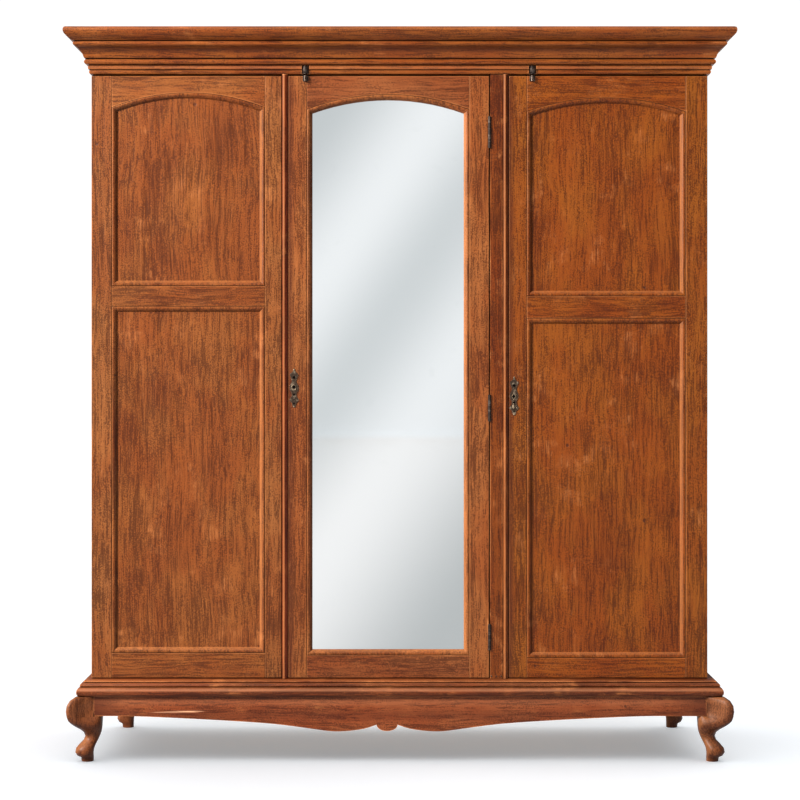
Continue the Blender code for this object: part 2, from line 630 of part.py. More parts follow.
def uprights():
    """The two moulded uprights that the doors close on."""
    foot, head = BASE_TOP + TOUCH, CORNICE_UNDER - TOUCH
    back = UPRIGHT_BACK_Y
    low_notch = block("upright_notch_low", (-SIDE_IN, CARCASS_Y - TOUCH, foot - OVERRUN),
                      (SIDE_IN, back + OVERRUN, FLOOR_TOP + TOUCH), None, cutter=True)
    high_notch = block("upright_notch_high", (-SIDE_IN, CARCASS_Y - TOUCH, CEILING - TOUCH),
                       (SIDE_IN, back + OVERRUN, head + OVERRUN), None, cutter=True)

    def flange(left, right):
        return [(left, CARCASS_Y), (left - FLANGE_W, CARCASS_Y), (left - FLANGE_W, back),
                (right + FLANGE_W, back), (right + FLANGE_W, CARCASS_Y), (right, CARCASS_Y)]

    bead = half_round(BEAD_LEFT, BEAD_RIGHT, FACE_Y, BEAD_PROUD, ARC_STEPS // 2)
    mullion = slab("centre_mullion", [bead + flange(BEAD_LEFT, BEAD_RIGHT)], "plan", (foot + head) / 2,
                   head - foot, TEAK)
    strip = half_round(SECOND_LEFT, SECOND_RIGHT, FACE_Y, BEAD_PROUD, ARC_STEPS // 2)
    strip += [(SECOND_LEFT, FACE_Y + QUIRK_D), (POST_RIGHT, FACE_Y + QUIRK_D), (POST_RIGHT, FACE_Y),
              (POST_LEFT, FACE_Y)]
    post = slab("hinge_post", [strip + flange(POST_LEFT, SECOND_RIGHT)], "plan", (foot + head) / 2,
                head - foot, TEAK)
    for upright, right_edge, lock_z in ((mullion, BEAD_RIGHT, MIRROR_LOCK_Z),
                                        (post, SECOND_RIGHT, RIGHT_LOCK_Z)):
        cut(upright, low_notch, high_notch,
            block(upright.name + "_lock_mortise",
                  (right_edge - LOCK_TRAVEL - TOUCH, LOCK_Y - LOCK_BOLT_T / 2 - LOCK_AIR,
                   lock_z - LOCK_BOLT_H / 2 - LOCK_AIR),
                  (right_edge + OVERRUN / 2, LOCK_Y + LOCK_BOLT_T / 2 + LOCK_AIR,
                   lock_z + LOCK_BOLT_H / 2 + LOCK_AIR), None, cutter=True))
    for n in range(len(HINGES)):
        cut(post, bpy.data.objects["knuckle_room_" + str(n + 1)])
    return post


def hanging_and_shelves():
    rear = BACK_IN_Y - 2 * TOUCH
    pole = rod("hanging_pole", (-SIDE_IN - POLE_SEAT + TOUCH, POLE_Y, POLE_Z),
               (PARTITION_LEFT + POLE_SEAT - TOUCH, POLE_Y, POLE_Z), POLE_R, INSIDE_WOOD)
    round_smooth(pole)
    for word, z in SHELVES:
        block(word + "_shelf", (PARTITION_RIGHT - SHELF_HOUSING + TOUCH, SHELF_FRONT_Y, z - SHELF_T),
              (SIDE_IN + SHELF_HOUSING - TOUCH, rear, z), INSIDE_WOOD)


# Doors
def arched(opening, inset):
    """Edge of a door opening, moved in by inset, as X and Z, anticlockwise from the foot's left end."""
    left, right, foot, spring, rise = opening
    points = [(left + inset, foot + inset), (right - inset, foot + inset)]
    if not rise:
        return points + [(right - inset, spring - inset), (left + inset, spring - inset)]
    half = (right - left) / 2
    radius = (half ** 2 + rise ** 2) / (2 * rise)
    hub_x, hub_z = (left + right) / 2, spring + rise - radius
    reach, span = radius - inset, half - inset
    sweep = math.asin(span / reach)
    for k in range(ARC_STEPS + 1):
        turn = sweep - 2 * sweep * k / ARC_STEPS
        points.append((hub_x + reach * math.sin(turn), hub_z + reach * math.cos(turn)))
    return points


def ring_at(opening, inset, depth):
    return [(x, FACE_Y + depth, z) for x, z in arched(opening, inset)]


def opening_cutters(name, opening):
    """The sight of a door opening and the rabbet behind it."""
    through = loft(name + "_sight", [ring_at(opening, 0.0, -OVERRUN),
                                     ring_at(opening, 0.0, DOOR_T + OVERRUN)], None, cutter=True)
    rabbet = loft(name + "_rabbet", [ring_at(opening, -LAP, RABBET_Y),
                                     ring_at(opening, -LAP, DOOR_T + OVERRUN)], None, cutter=True)
    return through, rabbet


def bead_rings(opening):
    return [ring_at(opening, BEAD_W * inset, PANEL_SINK * depth) for inset, depth in BEAD_SHARES]


def panel(name, opening):
    """A flat panel held in the rabbet, with the moulding mitred round its front."""
    back = PANEL_SINK + PANEL_T
    rings = [ring_at(opening, TOUCH - LAP, back), ring_at(opening, TOUCH - LAP, RABBET_Y + TOUCH),
             ring_at(opening, TOUCH, RABBET_Y + TOUCH)]
    rings += bead_rings(opening)
    rings.append(ring_at(opening, BEAD_W, PANEL_SINK))
    return loft(name, rings, PANEL_WOOD)


def stile(name, left, right, *tools):
    piece = block(name, (left, FACE_Y, DOOR_FOOT), (right, DOOR_BACK_Y, DOOR_HEAD), TEAK)
    return cut(piece, *tools)


def rail(name, left, right, foot, head, *tools):
    piece = block(name, (left + TOUCH, FACE_Y, foot), (right - TOUCH, DOOR_BACK_Y, head), TEAK)
    return cut(piece, *tools)


def panelled_door(word, edges, mid_foot, mid_height, rail_height, spring, rise, words):
    """A framed door of two stiles, three rails and two panels, with an arched head."""
    left, right, left_stile, right_stile = edges
    clear_left, clear_right = left + left_stile, right - right_stile
    low = (clear_left, clear_right, DOOR_FOOT + rail_height, mid_foot, 0.0)
    high = (clear_left, clear_right, mid_foot + mid_height, spring, rise)
    low_sight, low_rabbet = opening_cutters(word + "_low", low)
    high_sight, high_rabbet = opening_cutters(word + "_high", high)
    pieces = [
        stile(word + "_door_" + words[0] + "_stile", left, clear_left, low_rabbet, high_rabbet),
        stile(word + "_door_" + words[1] + "_stile", clear_right, right, low_rabbet, high_rabbet),
        rail(word + "_door_top_rail", clear_left, clear_right, spring, DOOR_HEAD, high_sight,
             high_rabbet),
        rail(word + "_door_mid_rail", clear_left, clear_right, mid_foot, mid_foot + mid_height,
             low_rabbet, high_rabbet),
        rail(word + "_door_bottom_rail", clear_left, clear_right, DOOR_FOOT, DOOR_FOOT + rail_height,
             low_rabbet),
        panel(word + "_door_lower_panel", low),
        panel(word + "_door_upper_panel", high)]
    return pieces


def mirror_door():
    """The middle door: two stiles, two rails, the arched mirror and the moulding that holds it."""
    clear_left, clear_right = MIRROR_LEFT + MIRROR_LOCK_STILE, MIRROR_RIGHT - MIRROR_HINGE_STILE
    spring = DOOR_HEAD - MIRROR_ARCH_DROP
    opening = (clear_left, clear_right, DOOR_FOOT + MIRROR_FOOT_RAIL_H, spring, MIRROR_ARCH_RISE)
    sight, rabbet = opening_cutters("mirror", opening)
    lock_stile = stile("mirror_door_lock_stile", MIRROR_LEFT, clear_left, rabbet)
    hinge_stile = stile("mirror_door_hinge_stile", clear_right, MIRROR_RIGHT, rabbet)
    for n in range(len(HINGES)):
        cut(hinge_stile, bpy.data.objects["knuckle_room_" + str(n + 1)])
    rings = bead_rings(opening)
    rings.append(ring_at(opening, BEAD_W, PANEL_SINK))
    rings += [ring_at(opening, BEAD_W, RABBET_Y), ring_at(opening, BEAD_W * BEAD_SHARES[0][0], RABBET_Y)]
    return [
        lock_stile, hinge_stile,
        rail("mirror_door_top_rail", clear_left, clear_right, spring, DOOR_HEAD, sight, rabbet),
        rail("mirror_door_bottom_rail", clear_left, clear_right, DOOR_FOOT,
             DOOR_FOOT + MIRROR_FOOT_RAIL_H, rabbet),
        loft("mirror_moulding", rings, TEAK, hoop=True),
        loft("mirror_glass", [ring_at(opening, TOUCH - LAP, RABBET_Y + TOUCH + GLASS_T),
                              ring_at(opening, TOUCH - LAP, RABBET_Y + TOUCH)], MIRROR)]


# Ironwork
def knuckle_rooms():
    """Round recesses for the hinge barrels, in the mirror door and its post."""
    for n, (middle, length) in enumerate(HINGES, 1):
        half = length / 2 + TOUCH
        rod("knuckle_room_" + str(n), (HINGE_X, HINGE_Y, middle - half),
            (HINGE_X, HINGE_Y, middle + half), KNUCKLE_R + RUNNING_AIR, None, cutter=True)


def butt_hinges():
    """Three butt hinges: each fixed leaf keeps the pin, the door's leaf turns on it."""
    moving = []
    for n, (middle, length) in enumerate(HINGES, 1):
        foot = middle - length / 2
        step = length / KNUCKLES
        leaves = {}
        for word, side in (("fixed", 1), ("door", -1)):
            face_x = HINGE_X + side * (HINGE_GAP / 2 - TOUCH)
            near, far = sorted((face_x, face_x - side * LEAF_T))
            leaves[word] = block("{}_hinge_leaf_{}".format(word, n), (near, HINGE_Y, foot),
                                 (far, FACE_Y + LEAF_D, foot + length), IRON, arris=0.0)
        for k in range(KNUCKLES):
            owner, other = ("fixed", "door") if k % 2 == 0 else ("door", "fixed")
            low, high = foot + k * step, foot + (k + 1) * step
            room = rod("knuckle_gap_{}_{}".format(n, k), (HINGE_X, HINGE_Y, low - RUNNING_AIR / 2),
                       (HINGE_X, HINGE_Y, high + RUNNING_AIR / 2), KNUCKLE_R + RUNNING_AIR, None,
                       cutter=True)
            cut(leaves[other], room)
            barrel = rod("knuckle_{}_{}".format(n, k), (HINGE_X, HINGE_Y, low + RUNNING_AIR / 2),
                         (HINGE_X, HINGE_Y, high - RUNNING_AIR / 2), KNUCKLE_R, None, cutter=True)
            join(leaves[owner], barrel)
        bore = rod("knuckle_bore_" + str(n), (HINGE_X, HINGE_Y, foot - OVERRUN),
                   (HINGE_X, HINGE_Y, foot + length + OVERRUN), HINGE_PIN_R + RUNNING_AIR, None,
                   cutter=True)
        pin = rod("hinge_pin_" + str(n), (HINGE_X, HINGE_Y, foot + step / 2),
                  (HINGE_X, HINGE_Y, foot + length - step / 2), HINGE_PIN_R, None, cutter=True)
        cut(leaves["door"], bore)
        join(leaves["fixed"], pin)
        moving.append(leaves["door"])
    return moving


def pivot(name, x, shoulder, door_end, frame_end):
    """A turned pin with a collar that bears between the door's end and the frame."""
    up = 1 if frame_end > door_end else -1
    collar_low = door_end + up * TOUCH
    collar_high = shoulder - up * TOUCH
    # radius and height, top to bottom on the outer side
    profile = [(0.0, frame_end), (PIN_R, frame_end), (PIN_R, collar_high), (COLLAR_R, collar_high),
               (COLLAR_R, collar_low), (PIN_R, collar_low), (PIN_R, door_end - up * PIN_IN_DOOR),
               (0.0, door_end - up * PIN_IN_DOOR)]
    if up < 0:
        profile.reverse()
    work = bmesh.new()
    verts = [work.verts.new((radius, 0.0, z)) for radius, z in profile]
    for a, b in zip(verts, verts[1:]):
        work.edges.new((a, b))
    mesh = bpy.data.meshes.new(name)
    work.to_mesh(mesh)
    work.free()
    piece = place(name, mesh, IRON, (x, PIVOT_Y, 0.0))
    spun = piece.modifiers.new("turned", "SCREW")
    spun.steps = ROUND
    spun.render_steps = ROUND
    spun.use_merge_vertices = True
    spun.merge_threshold = TOUCH / 30
    return piece


def door_pivots(doors):
    """Pins above and below the two side doors, bored into their outer stiles."""
    for word, x, outer in (("left", LEFT_PIVOT_X, "outer"), ("right", RIGHT_PIVOT_X, "outer")):
        pivot(word + "_top_pivot", x, CORNICE_UNDER, DOOR_HEAD, CORNICE_UNDER + PIN_IN_FRAME)
        pivot(word + "_bottom_pivot", x, BASE_TOP, DOOR_FOOT, BASE_TOP - PIN_IN_FRAME)
        board = doors[word + "_door_" + outer + "_stile"]
        for end, inward in ((DOOR_HEAD, -1), (DOOR_FOOT, 1)):
            hole = rod("{}_pin_hole_{}".format(word, "high" if inward < 0 else "low"),
                       (x, PIVOT_Y, end - inward * OVERRUN),
                       (x, PIVOT_Y, end + inward * (PIN_IN_DOOR + TOUCH)), PIN_R + TOUCH, None,
                       cutter=True)
            cut(board, hole)


def circle(x, z, radius, sides):
    return [(x + radius * math.cos(2 * math.pi * k / sides), z + radius * math.sin(2 * math.pi * k / sides))
            for k in range(sides)]


def lock_plate(name, x, z):
    """A cast, pierced plate with a raised boss round the keyhole."""
    half = [(PLATE_W / 2 * across, PLATE_H * up) for across, up in PLATE_SHARES]
    right = curve_through(half, 2)
    left = [(-across, up) for across, up in reversed(right[1:-1])]
    edge = [(x + across, z + up) for across, up in right + left]
    holes = [circle(x, z + PLATE_H * up, PLATE_W / 2 * radius, ROUND // 2) for up, radius in PIERCING_SHARES]
    back = FACE_Y - TOUCH
    plate = slab(name, [edge] + holes, "front", back - PLATE_T / 2, PLATE_T, CAST_BRASS)
    boss = rod(name + "_boss", (x, back - PLATE_T / 2, z), (x, back - PLATE_T - BOSS_T, z), BOSS_R, None,
               cutter=True)
    key_round = rod(name + "_key_round", (x, back + OVERRUN, z + KEY_R), (x, back - OVERRUN, z + KEY_R),
                    KEY_R, None, cutter=True)
    key_slot = block(name + "_key_slot", (x - KEY_SLOT_W / 2, back - OVERRUN, z + KEY_R - KEY_SLOT_H),
                     (x + KEY_SLOT_W / 2, back + OVERRUN, z + KEY_R), None, cutter=True)
    join(plate, boss)
    return cut(plate, key_round, key_slot)


def lock_bolt(name, edge_x, z, board):
    """A sliding bolt let into a stile's edge, drawn back at rest."""
    inner = edge_x + LOCK_BOLT_L
    cut(board, block(name + "_slot", (edge_x - OVERRUN, LOCK_Y - LOCK_BOLT_T / 2 - LOCK_AIR,
                                      z - LOCK_BOLT_H / 2 - LOCK_AIR),
                     (inner + TOUCH, LOCK_Y + LOCK_BOLT_T / 2 + LOCK_AIR, z + LOCK_BOLT_H / 2 + LOCK_AIR),
                     None, cutter=True))
    return block(name, (edge_x, LOCK_Y - LOCK_BOLT_T / 2, z - LOCK_BOLT_H / 2),
                 (inner, LOCK_Y + LOCK_BOLT_T / 2, z + LOCK_BOLT_H / 2), CAST_BRASS, arris=0.0)


def catch(word, x):
    """A small slide bolt on a door's head and its keeper under the cornice."""
    bore_r = CATCH_BOLT_R + RUNNING_AIR
    pieces = {}
    for part, seat, foot, height in (
            ("case", FACE_Y, DOOR_HEAD - CATCH_LOWER_H, CATCH_LOWER_H),
            ("keeper", FACE_Y - CATCH_SEAT, CORNICE_UNDER + TOUCH, CATCH_UPPER_H)):
        name = "{}_catch_{}".format(word, part)
        back = seat - TOUCH
        plate = block(name, (x - CATCH_W / 2, back - CATCH_PLATE_T, foot),
                      (x + CATCH_W / 2, back, foot + height), IRON, arris=0.0)
        bolt_y = FACE_Y - TOUCH - CATCH_PLATE_T / 2 - CATCH_BARREL_R
        barrel = rod(name + "_barrel", (x, bolt_y, foot), (x, bolt_y, foot + height), CATCH_BARREL_R, None,
                     cutter=True)
        bore = rod(name + "_bore", (x, bolt_y, foot - OVERRUN), (x, bolt_y, foot + height + OVERRUN),
                   bore_r, None, cutter=True)
        join(plate, barrel)
        cut(plate, bore)
        pieces[part] = plate
    low, high = DOOR_HEAD - CATCH_LOWER_H, DOOR_HEAD
    knob_z = low + CATCH_KNOB_R + 2 * CATCH_SLOT_AIR + TOUCH
    slot_r = CATCH_KNOB_R + CATCH_SLOT_AIR
    slot = block(word + "_catch_slot",
                 (x - slot_r, bolt_y - CATCH_BARREL_R - OVERRUN, knob_z - slot_r),
                 (x + slot_r, bolt_y, knob_z + CATCH_TRAVEL + slot_r), None, cutter=True)
    cut(pieces["case"], slot)
    bolt = rod(word + "_catch_bolt", (x, bolt_y, low), (x, bolt_y, high - TOUCH), CATCH_BOLT_R, IRON)
    knob = rod(word + "_catch_knob", (x, bolt_y, knob_z),
               (x, bolt_y - CATCH_BOLT_R - CATCH_KNOB_L, knob_z), CATCH_KNOB_R, None, cutter=True)
    join(bolt, knob)
    return pieces["case"], bolt


def build():
    knuckle_rooms()
    base_and_cornice()
    legs_and_aprons()
    carcass()
    uprights()
    hanging_and_shelves()
    left = panelled_door("left", (-BODY_HALF, LEFT_DOOR_INNER, LEFT_OUTER_STILE, LEFT_INNER_STILE),
                         DOOR_FOOT + LEFT_MID_UP, LEFT_MID_H, LEFT_FOOT_RAIL_H,
                         DOOR_HEAD - LEFT_ARCH_DROP, LEFT_ARCH_RISE,
                         ("outer", "inner"))
    right = panelled_door("right", (RIGHT_DOOR_INNER, RIGHT_DOOR_OUTER, RIGHT_INNER_STILE,
                                    RIGHT_OUTER_STILE),
                          DOOR_FOOT + RIGHT_MID_UP, RIGHT_MID_H, RIGHT_FOOT_RAIL_H,
                          DOOR_HEAD - RIGHT_ARCH_DROP, RIGHT_ARCH_RISE,
                          ("lock", "outer"))
    middle = mirror_door()
    made = {piece.name: piece for piece in left + right + middle}
    door_pivots(made)
    middle += butt_hinges()
    middle.append(lock_plate("mirror_door_lock_plate", MIRROR_LEFT + MIRROR_PLATE_IN + PLATE_W / 2,
                             MIRROR_LOCK_Z))
    right.append(lock_plate("right_door_lock_plate", RIGHT_DOOR_INNER + RIGHT_PLATE_IN + PLATE_W / 2,
                            RIGHT_LOCK_Z))
    mirror_bolt = lock_bolt("mirror_lock_bolt", MIRROR_LEFT, MIRROR_LOCK_Z, made["mirror_door_lock_stile"])
    right_bolt = lock_bolt("right_lock_bolt", RIGHT_DOOR_INNER, RIGHT_LOCK_Z, made["right_door_lock_stile"])
    mirror_case, mirror_catch_bolt = catch("mirror", MIRROR_CATCH_X)
    right_case, right_catch_bolt = catch("right", RIGHT_CATCH_X)
    middle.append(mirror_case)
    right.append(right_case)
    left_hub = empty_on("left_door_axis", (LEFT_PIVOT_X, PIVOT_Y, DOOR_FOOT))
    right_hub = empty_on("right_door_axis", (RIGHT_PIVOT_X, PIVOT_Y, DOOR_FOOT))
    mirror_hub = empty_on("mirror_door_axis", (HINGE_X, HINGE_Y, DOOR_FOOT))
    hang(left, left_hub)
    hang(right + [right_bolt, right_catch_bolt], right_hub)
    hang(middle + [mirror_bolt, mirror_catch_bolt], mirror_hub)
    bpy.context.view_layer.update()


build()
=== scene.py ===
import math

import bpy
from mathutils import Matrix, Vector


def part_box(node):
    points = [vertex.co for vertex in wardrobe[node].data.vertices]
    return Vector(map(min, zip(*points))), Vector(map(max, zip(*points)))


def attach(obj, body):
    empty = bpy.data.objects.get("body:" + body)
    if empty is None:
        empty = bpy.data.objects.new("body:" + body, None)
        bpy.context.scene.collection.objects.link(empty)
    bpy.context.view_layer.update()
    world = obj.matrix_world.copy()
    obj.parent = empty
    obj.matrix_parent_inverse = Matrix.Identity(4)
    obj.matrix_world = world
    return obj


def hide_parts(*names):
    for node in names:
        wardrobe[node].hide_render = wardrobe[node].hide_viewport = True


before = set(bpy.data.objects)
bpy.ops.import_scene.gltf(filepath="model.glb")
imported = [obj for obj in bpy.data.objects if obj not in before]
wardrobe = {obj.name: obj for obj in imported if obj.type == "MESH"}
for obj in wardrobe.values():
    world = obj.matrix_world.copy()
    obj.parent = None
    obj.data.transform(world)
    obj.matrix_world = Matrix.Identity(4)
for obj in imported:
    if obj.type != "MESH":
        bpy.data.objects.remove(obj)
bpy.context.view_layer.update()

# The view: the wardrobe stands square to a camera on a tripod, a little under six metres off
# and just over half its height, level, with a lens for portraits.
DOOR_FACE_Y = -0.2435
EYE_DISTANCE = 5.72
EYE_HEIGHT = 1.0644

camera_data = bpy.data.cameras.new("tripod_camera")
camera_data.sensor_width = 36
camera_data.lens = 93.13
camera_data.shift_y = -0.03125
camera_data.clip_end = 100
tripod_camera = bpy.data.objects.new("tripod_camera", camera_data)
tripod_camera.location = (0, DOOR_FACE_Y - EYE_DISTANCE, EYE_HEIGHT)
tripod_camera.rotation_euler = (math.radians(90), 0, 0)
bpy.context.scene.collection.objects.link(tripod_camera)
bpy.context.scene.camera = tripod_camera


# The studio: a seamless white floor in a bright even room, and one large soft lamp above the
# camera's left shoulder that draws out the mouldings.
class Wire:
    """One socket of a finish. Sums written on it add the maths nodes."""

    def __init__(self, graph, socket):
        self.graph = graph
        self.socket = socket

    def sum(self, operation, *values):
        """One maths node. Where this wire isn't among the values, it comes first."""
        values = values if self in values else (self, *values)
        return self.graph.node("ShaderNodeMath", {"operation": operation}, values)["Value"]

    def __add__(self, other):
        return self.sum("ADD", self, other)

    def __radd__(self, other):
        return self.sum("ADD", other, self)

    def __sub__(self, other):
        return self.sum("SUBTRACT", self, other)

    def __rsub__(self, other):
        return self.sum("SUBTRACT", other, self)

    def __mul__(self, other):
        return self.sum("MULTIPLY", self, other)

    def __rmul__(self, other):
        return self.sum("MULTIPLY", other, self)

    def __truediv__(self, other):
        return self.sum("DIVIDE", self, other)

    def __rtruediv__(self, other):
        return self.sum("DIVIDE", other, self)

    def __abs__(self):
        return self.sum("ABSOLUTE", self)

    def from_to(self, low, high):
        """0 where this is under low, 1 where it is over high, and smooth between."""
        return self.graph.node(
            "ShaderNodeMapRange",
            {"interpolation_type": "SMOOTHSTEP"},
            {"Value": self, "From Min": low, "From Max": high},
        )["Result"]


class Made:
    """A node that was made. Its outputs are taken by name or number."""

    def __init__(self, graph, node):
        self.graph = graph
        self.node = node

    def __getitem__(self, output):
        return Wire(self.graph, self.node.outputs[output])


class Graph:
    """The nodes of one finish or of one modifier."""

    def __init__(self, tree):
        self.tree = tree

    def node(self, kind, settings=None, inputs=()):
        """Adds one node: its type, its settings, and the values or links of its sockets."""
        made = self.tree.nodes.new(kind)
        for name, value in (settings or {}).items():
            if name == "stops":
                stops = made.color_ramp.elements
                while len(stops) < len(value):
                    stops.new(0.5)
                for stop, (place, colour) in zip(stops, value):
                    stop.position = place
                    stop.color = (*colour, 1)
            else:
                setattr(made, name, value)
        pairs = inputs.items() if isinstance(inputs, dict) else enumerate(inputs)
        for name, value in pairs:
            if isinstance(value, Wire):
                self.tree.links.new(value.socket, made.inputs[name])
            else:
                made.inputs[name].default_value = value
        return Made(self, made)

    def noise(self, at, scale, detail=3.0, rough=0.55, swirl=0.0):
        """Soft noise round 0.5. Scale is about how many blots fit in a metre."""
        return self.node(
            "ShaderNodeTexNoise",
            {},
            {"Vector": at, "Scale": scale, "Detail": detail, "Roughness": rough, "Distortion": swirl},
        )["Fac"]

    def mix(self, share, first, second, blend="MIX"):
        """Two colours mixed. Share is how much there is of the second."""
        settings = {"data_type": "RGBA", "blend_type": blend, "clamp_factor": True}
        return self.node("ShaderNodeMix", settings, {0: share, 6: first, 7: second})[2]


def tint(red, green, blue):
    """A colour as a paint shop would read it, 0 to 255, turned to light."""
    values = []
    for part in (red, green, blue):
        part = part / 255
        values.append(part / 12.92 if part <= 0.04045 else ((part + 0.055) / 1.055) ** 2.4)
    return (*values, 1.0)


room = bpy.data.worlds.new("white_room")
bpy.context.scene.world = room
room.use_nodes = True
room.node_tree.nodes.clear()
air = Graph(room.node_tree)
seen = air.node("ShaderNodeLightPath")["Is Camera Ray"]
way = air.node("ShaderNodeSeparateXYZ", {}, [air.node("ShaderNodeTexCoord")["Generated"]])
ahead = (0.0 - way["Y"]).from_to(0.965, 0.985)
above = way["Z"].from_to(0.45, 0.95)
leftward = (0.0 - way["X"]).from_to(0.0, 1.0)
room_light = 0.22 + ahead * 0.86 + above * 1.56 + leftward * 0.45
glow = air.node(
    "ShaderNodeBackground",
    {},
    {"Color": (0.985, 0.995, 1.0, 1.0), "Strength": room_light * (1.0 - seen) + seen * 1.08},
)["Background"]
air.node("ShaderNodeOutputWorld", {}, {"Surface": glow})

bpy.context.scene.view_settings.view_transform = "Standard"

FLOOR_SPREAD = 60.0
bpy.ops.object.select_all(action="DESELECT")
bpy.ops.mesh.primitive_grid_add(x_subdivisions=2, y_subdivisions=2, size=FLOOR_SPREAD)
studio_floor = bpy.context.object
studio_floor.name = "studio_floor"
paint = bpy.data.materials.new("floor_paint")
paint.use_nodes = True
floor_paint = Graph(paint.node_tree)
spot = floor_paint.node("ShaderNodeTexCoord")["Object"]
faint = floor_paint.noise(spot, scale=3.0)
floor_coat = paint.node_tree.nodes["Principled BSDF"]
floor_colour = floor_paint.mix(faint, tint(243, 244, 246), tint(247, 247, 248))
paint.node_tree.links.new(floor_colour.socket, floor_coat.inputs["Base Color"])
floor_coat.inputs["Roughness"].default_value = 0.7
floor_coat.inputs["Specular IOR Level"].default_value = 0.1
floor_coat.inputs["Emission Color"].default_value = (0.80, 0.918, 1.0, 1.0)
floor_coat.inputs["Emission Strength"].default_value = 0.27
studio_floor.data.materials.append(paint)

wardrobe_only = bpy.data.collections.new("wardrobe_only")
wardrobe_only.objects.link(studio_floor)
wardrobe_only.collection_objects[0].light_linking.link_state = "EXCLUDE"

KEY_LAMP_PLACE = Vector((-4.7, -3.9, 4.2))
KEY_LAMP_AIM = Vector((0, -0.2, 1.1))
soft_box = bpy.data.lights.new("key_lamp", "AREA")
soft_box.shape = "RECTANGLE"
soft_box.size = 1.2
soft_box.size_y = 1.2
soft_box.energy = 1170
soft_box.color = (1.0, 0.965, 0.92)
key_lamp = bpy.data.objects.new("key_lamp", soft_box)
key_lamp.location = KEY_LAMP_PLACE
key_lamp.rotation_euler = (KEY_LAMP_AIM - KEY_LAMP_PLACE).to_track_quat("-Z", "Y").to_euler()
key_lamp.light_linking.receiver_collection = wardrobe_only
bpy.context.scene.collection.objects.link(key_lamp)

# The front legs are sawn and carved from thick teak and stand proud at the corners; plainer
# ones carry the back. The aprons between them are cut from one board each, grain lengthwise.
LEG_EDGE = 0.0005


def soft_edges(piece, width, sharpest):
    """Sound shading on a carried solid, and its sharp edges eased by sandpaper and hands."""
    group = bpy.data.node_groups.get(f"even_shading_{sharpest}")
    if group is None:
        group = bpy.data.node_groups.new(f"even_shading_{sharpest}", "GeometryNodeTree")
        group.interface.new_socket("Geometry", in_out="INPUT", socket_type="NodeSocketGeometry")
        group.interface.new_socket("Geometry", in_out="OUTPUT", socket_type="NodeSocketGeometry")
        shape = Graph(group)
        given = shape.node("NodeGroupInput")["Geometry"]
        joined = shape.node("GeometryNodeMergeByDistance", {}, {"Geometry": given, "Distance": 1e-5})
        angle = shape.node("GeometryNodeInputMeshEdgeAngle")["Unsigned Angle"]
        sharp = angle.sum("GREATER_THAN", angle, math.radians(sharpest))
        shaded = shape.node(
            "GeometryNodeSetMeshNormal",
            {"mode": "SHARPNESS"},
            {"Mesh": joined["Geometry"], "Remove Custom": True, "Edge Sharpness": sharp,
             "Face Sharpness": False},
        )["Mesh"]
        shape.node("NodeGroupOutput", {}, {"Geometry": shaded})
    smooth = piece.modifiers.new("even_shading", "NODES")
    smooth.node_group = group
    if width:
        eased = piece.modifiers.new("eased_edges", "BEVEL")
        eased.width = width
        eased.segments = 2
        eased.limit_method = "ANGLE"
        eased.angle_limit = math.radians(sharpest)
        eased.harden_normals = True
        eased.use_clamp_overlap = True


GRAIN = {"X": (0.045, 1, 1), "Y": (1, 0.045, 1), "Z": (1, 1, 0.045)}
LENGTHEN = {"X": (0.5, 1, 1), "Y": (1, 0.5, 1), "Z": (1, 1, 0.5)}
PORE_BROWN = tint(60, 26, 10)
KNOCK_BROWN = tint(48, 20, 8)
TICK_BROWN = tint(50, 22, 10)
BAND_SHADE = tint(50, 16, 5)
DIRT_AND_SHADE_BROWN = tint(62, 24, 9)
SHADED_FACE_BROWN = tint(44, 16, 6)
QUIRK_DIRT_AND_SHADE = tint(40, 15, 7)
SCUFFED_TEAK = tint(176, 106, 56)
NICKED_TEAK = tint(196, 128, 74)
RUBBED_AND_LIT_TEAK = tint(216, 146, 104)
TORN_TEAK = tint(216, 160, 122)
WORN_AND_LIT_EDGE = tint(186, 116, 66)
LIT_FACE_TEAK = tint(204, 132, 80)


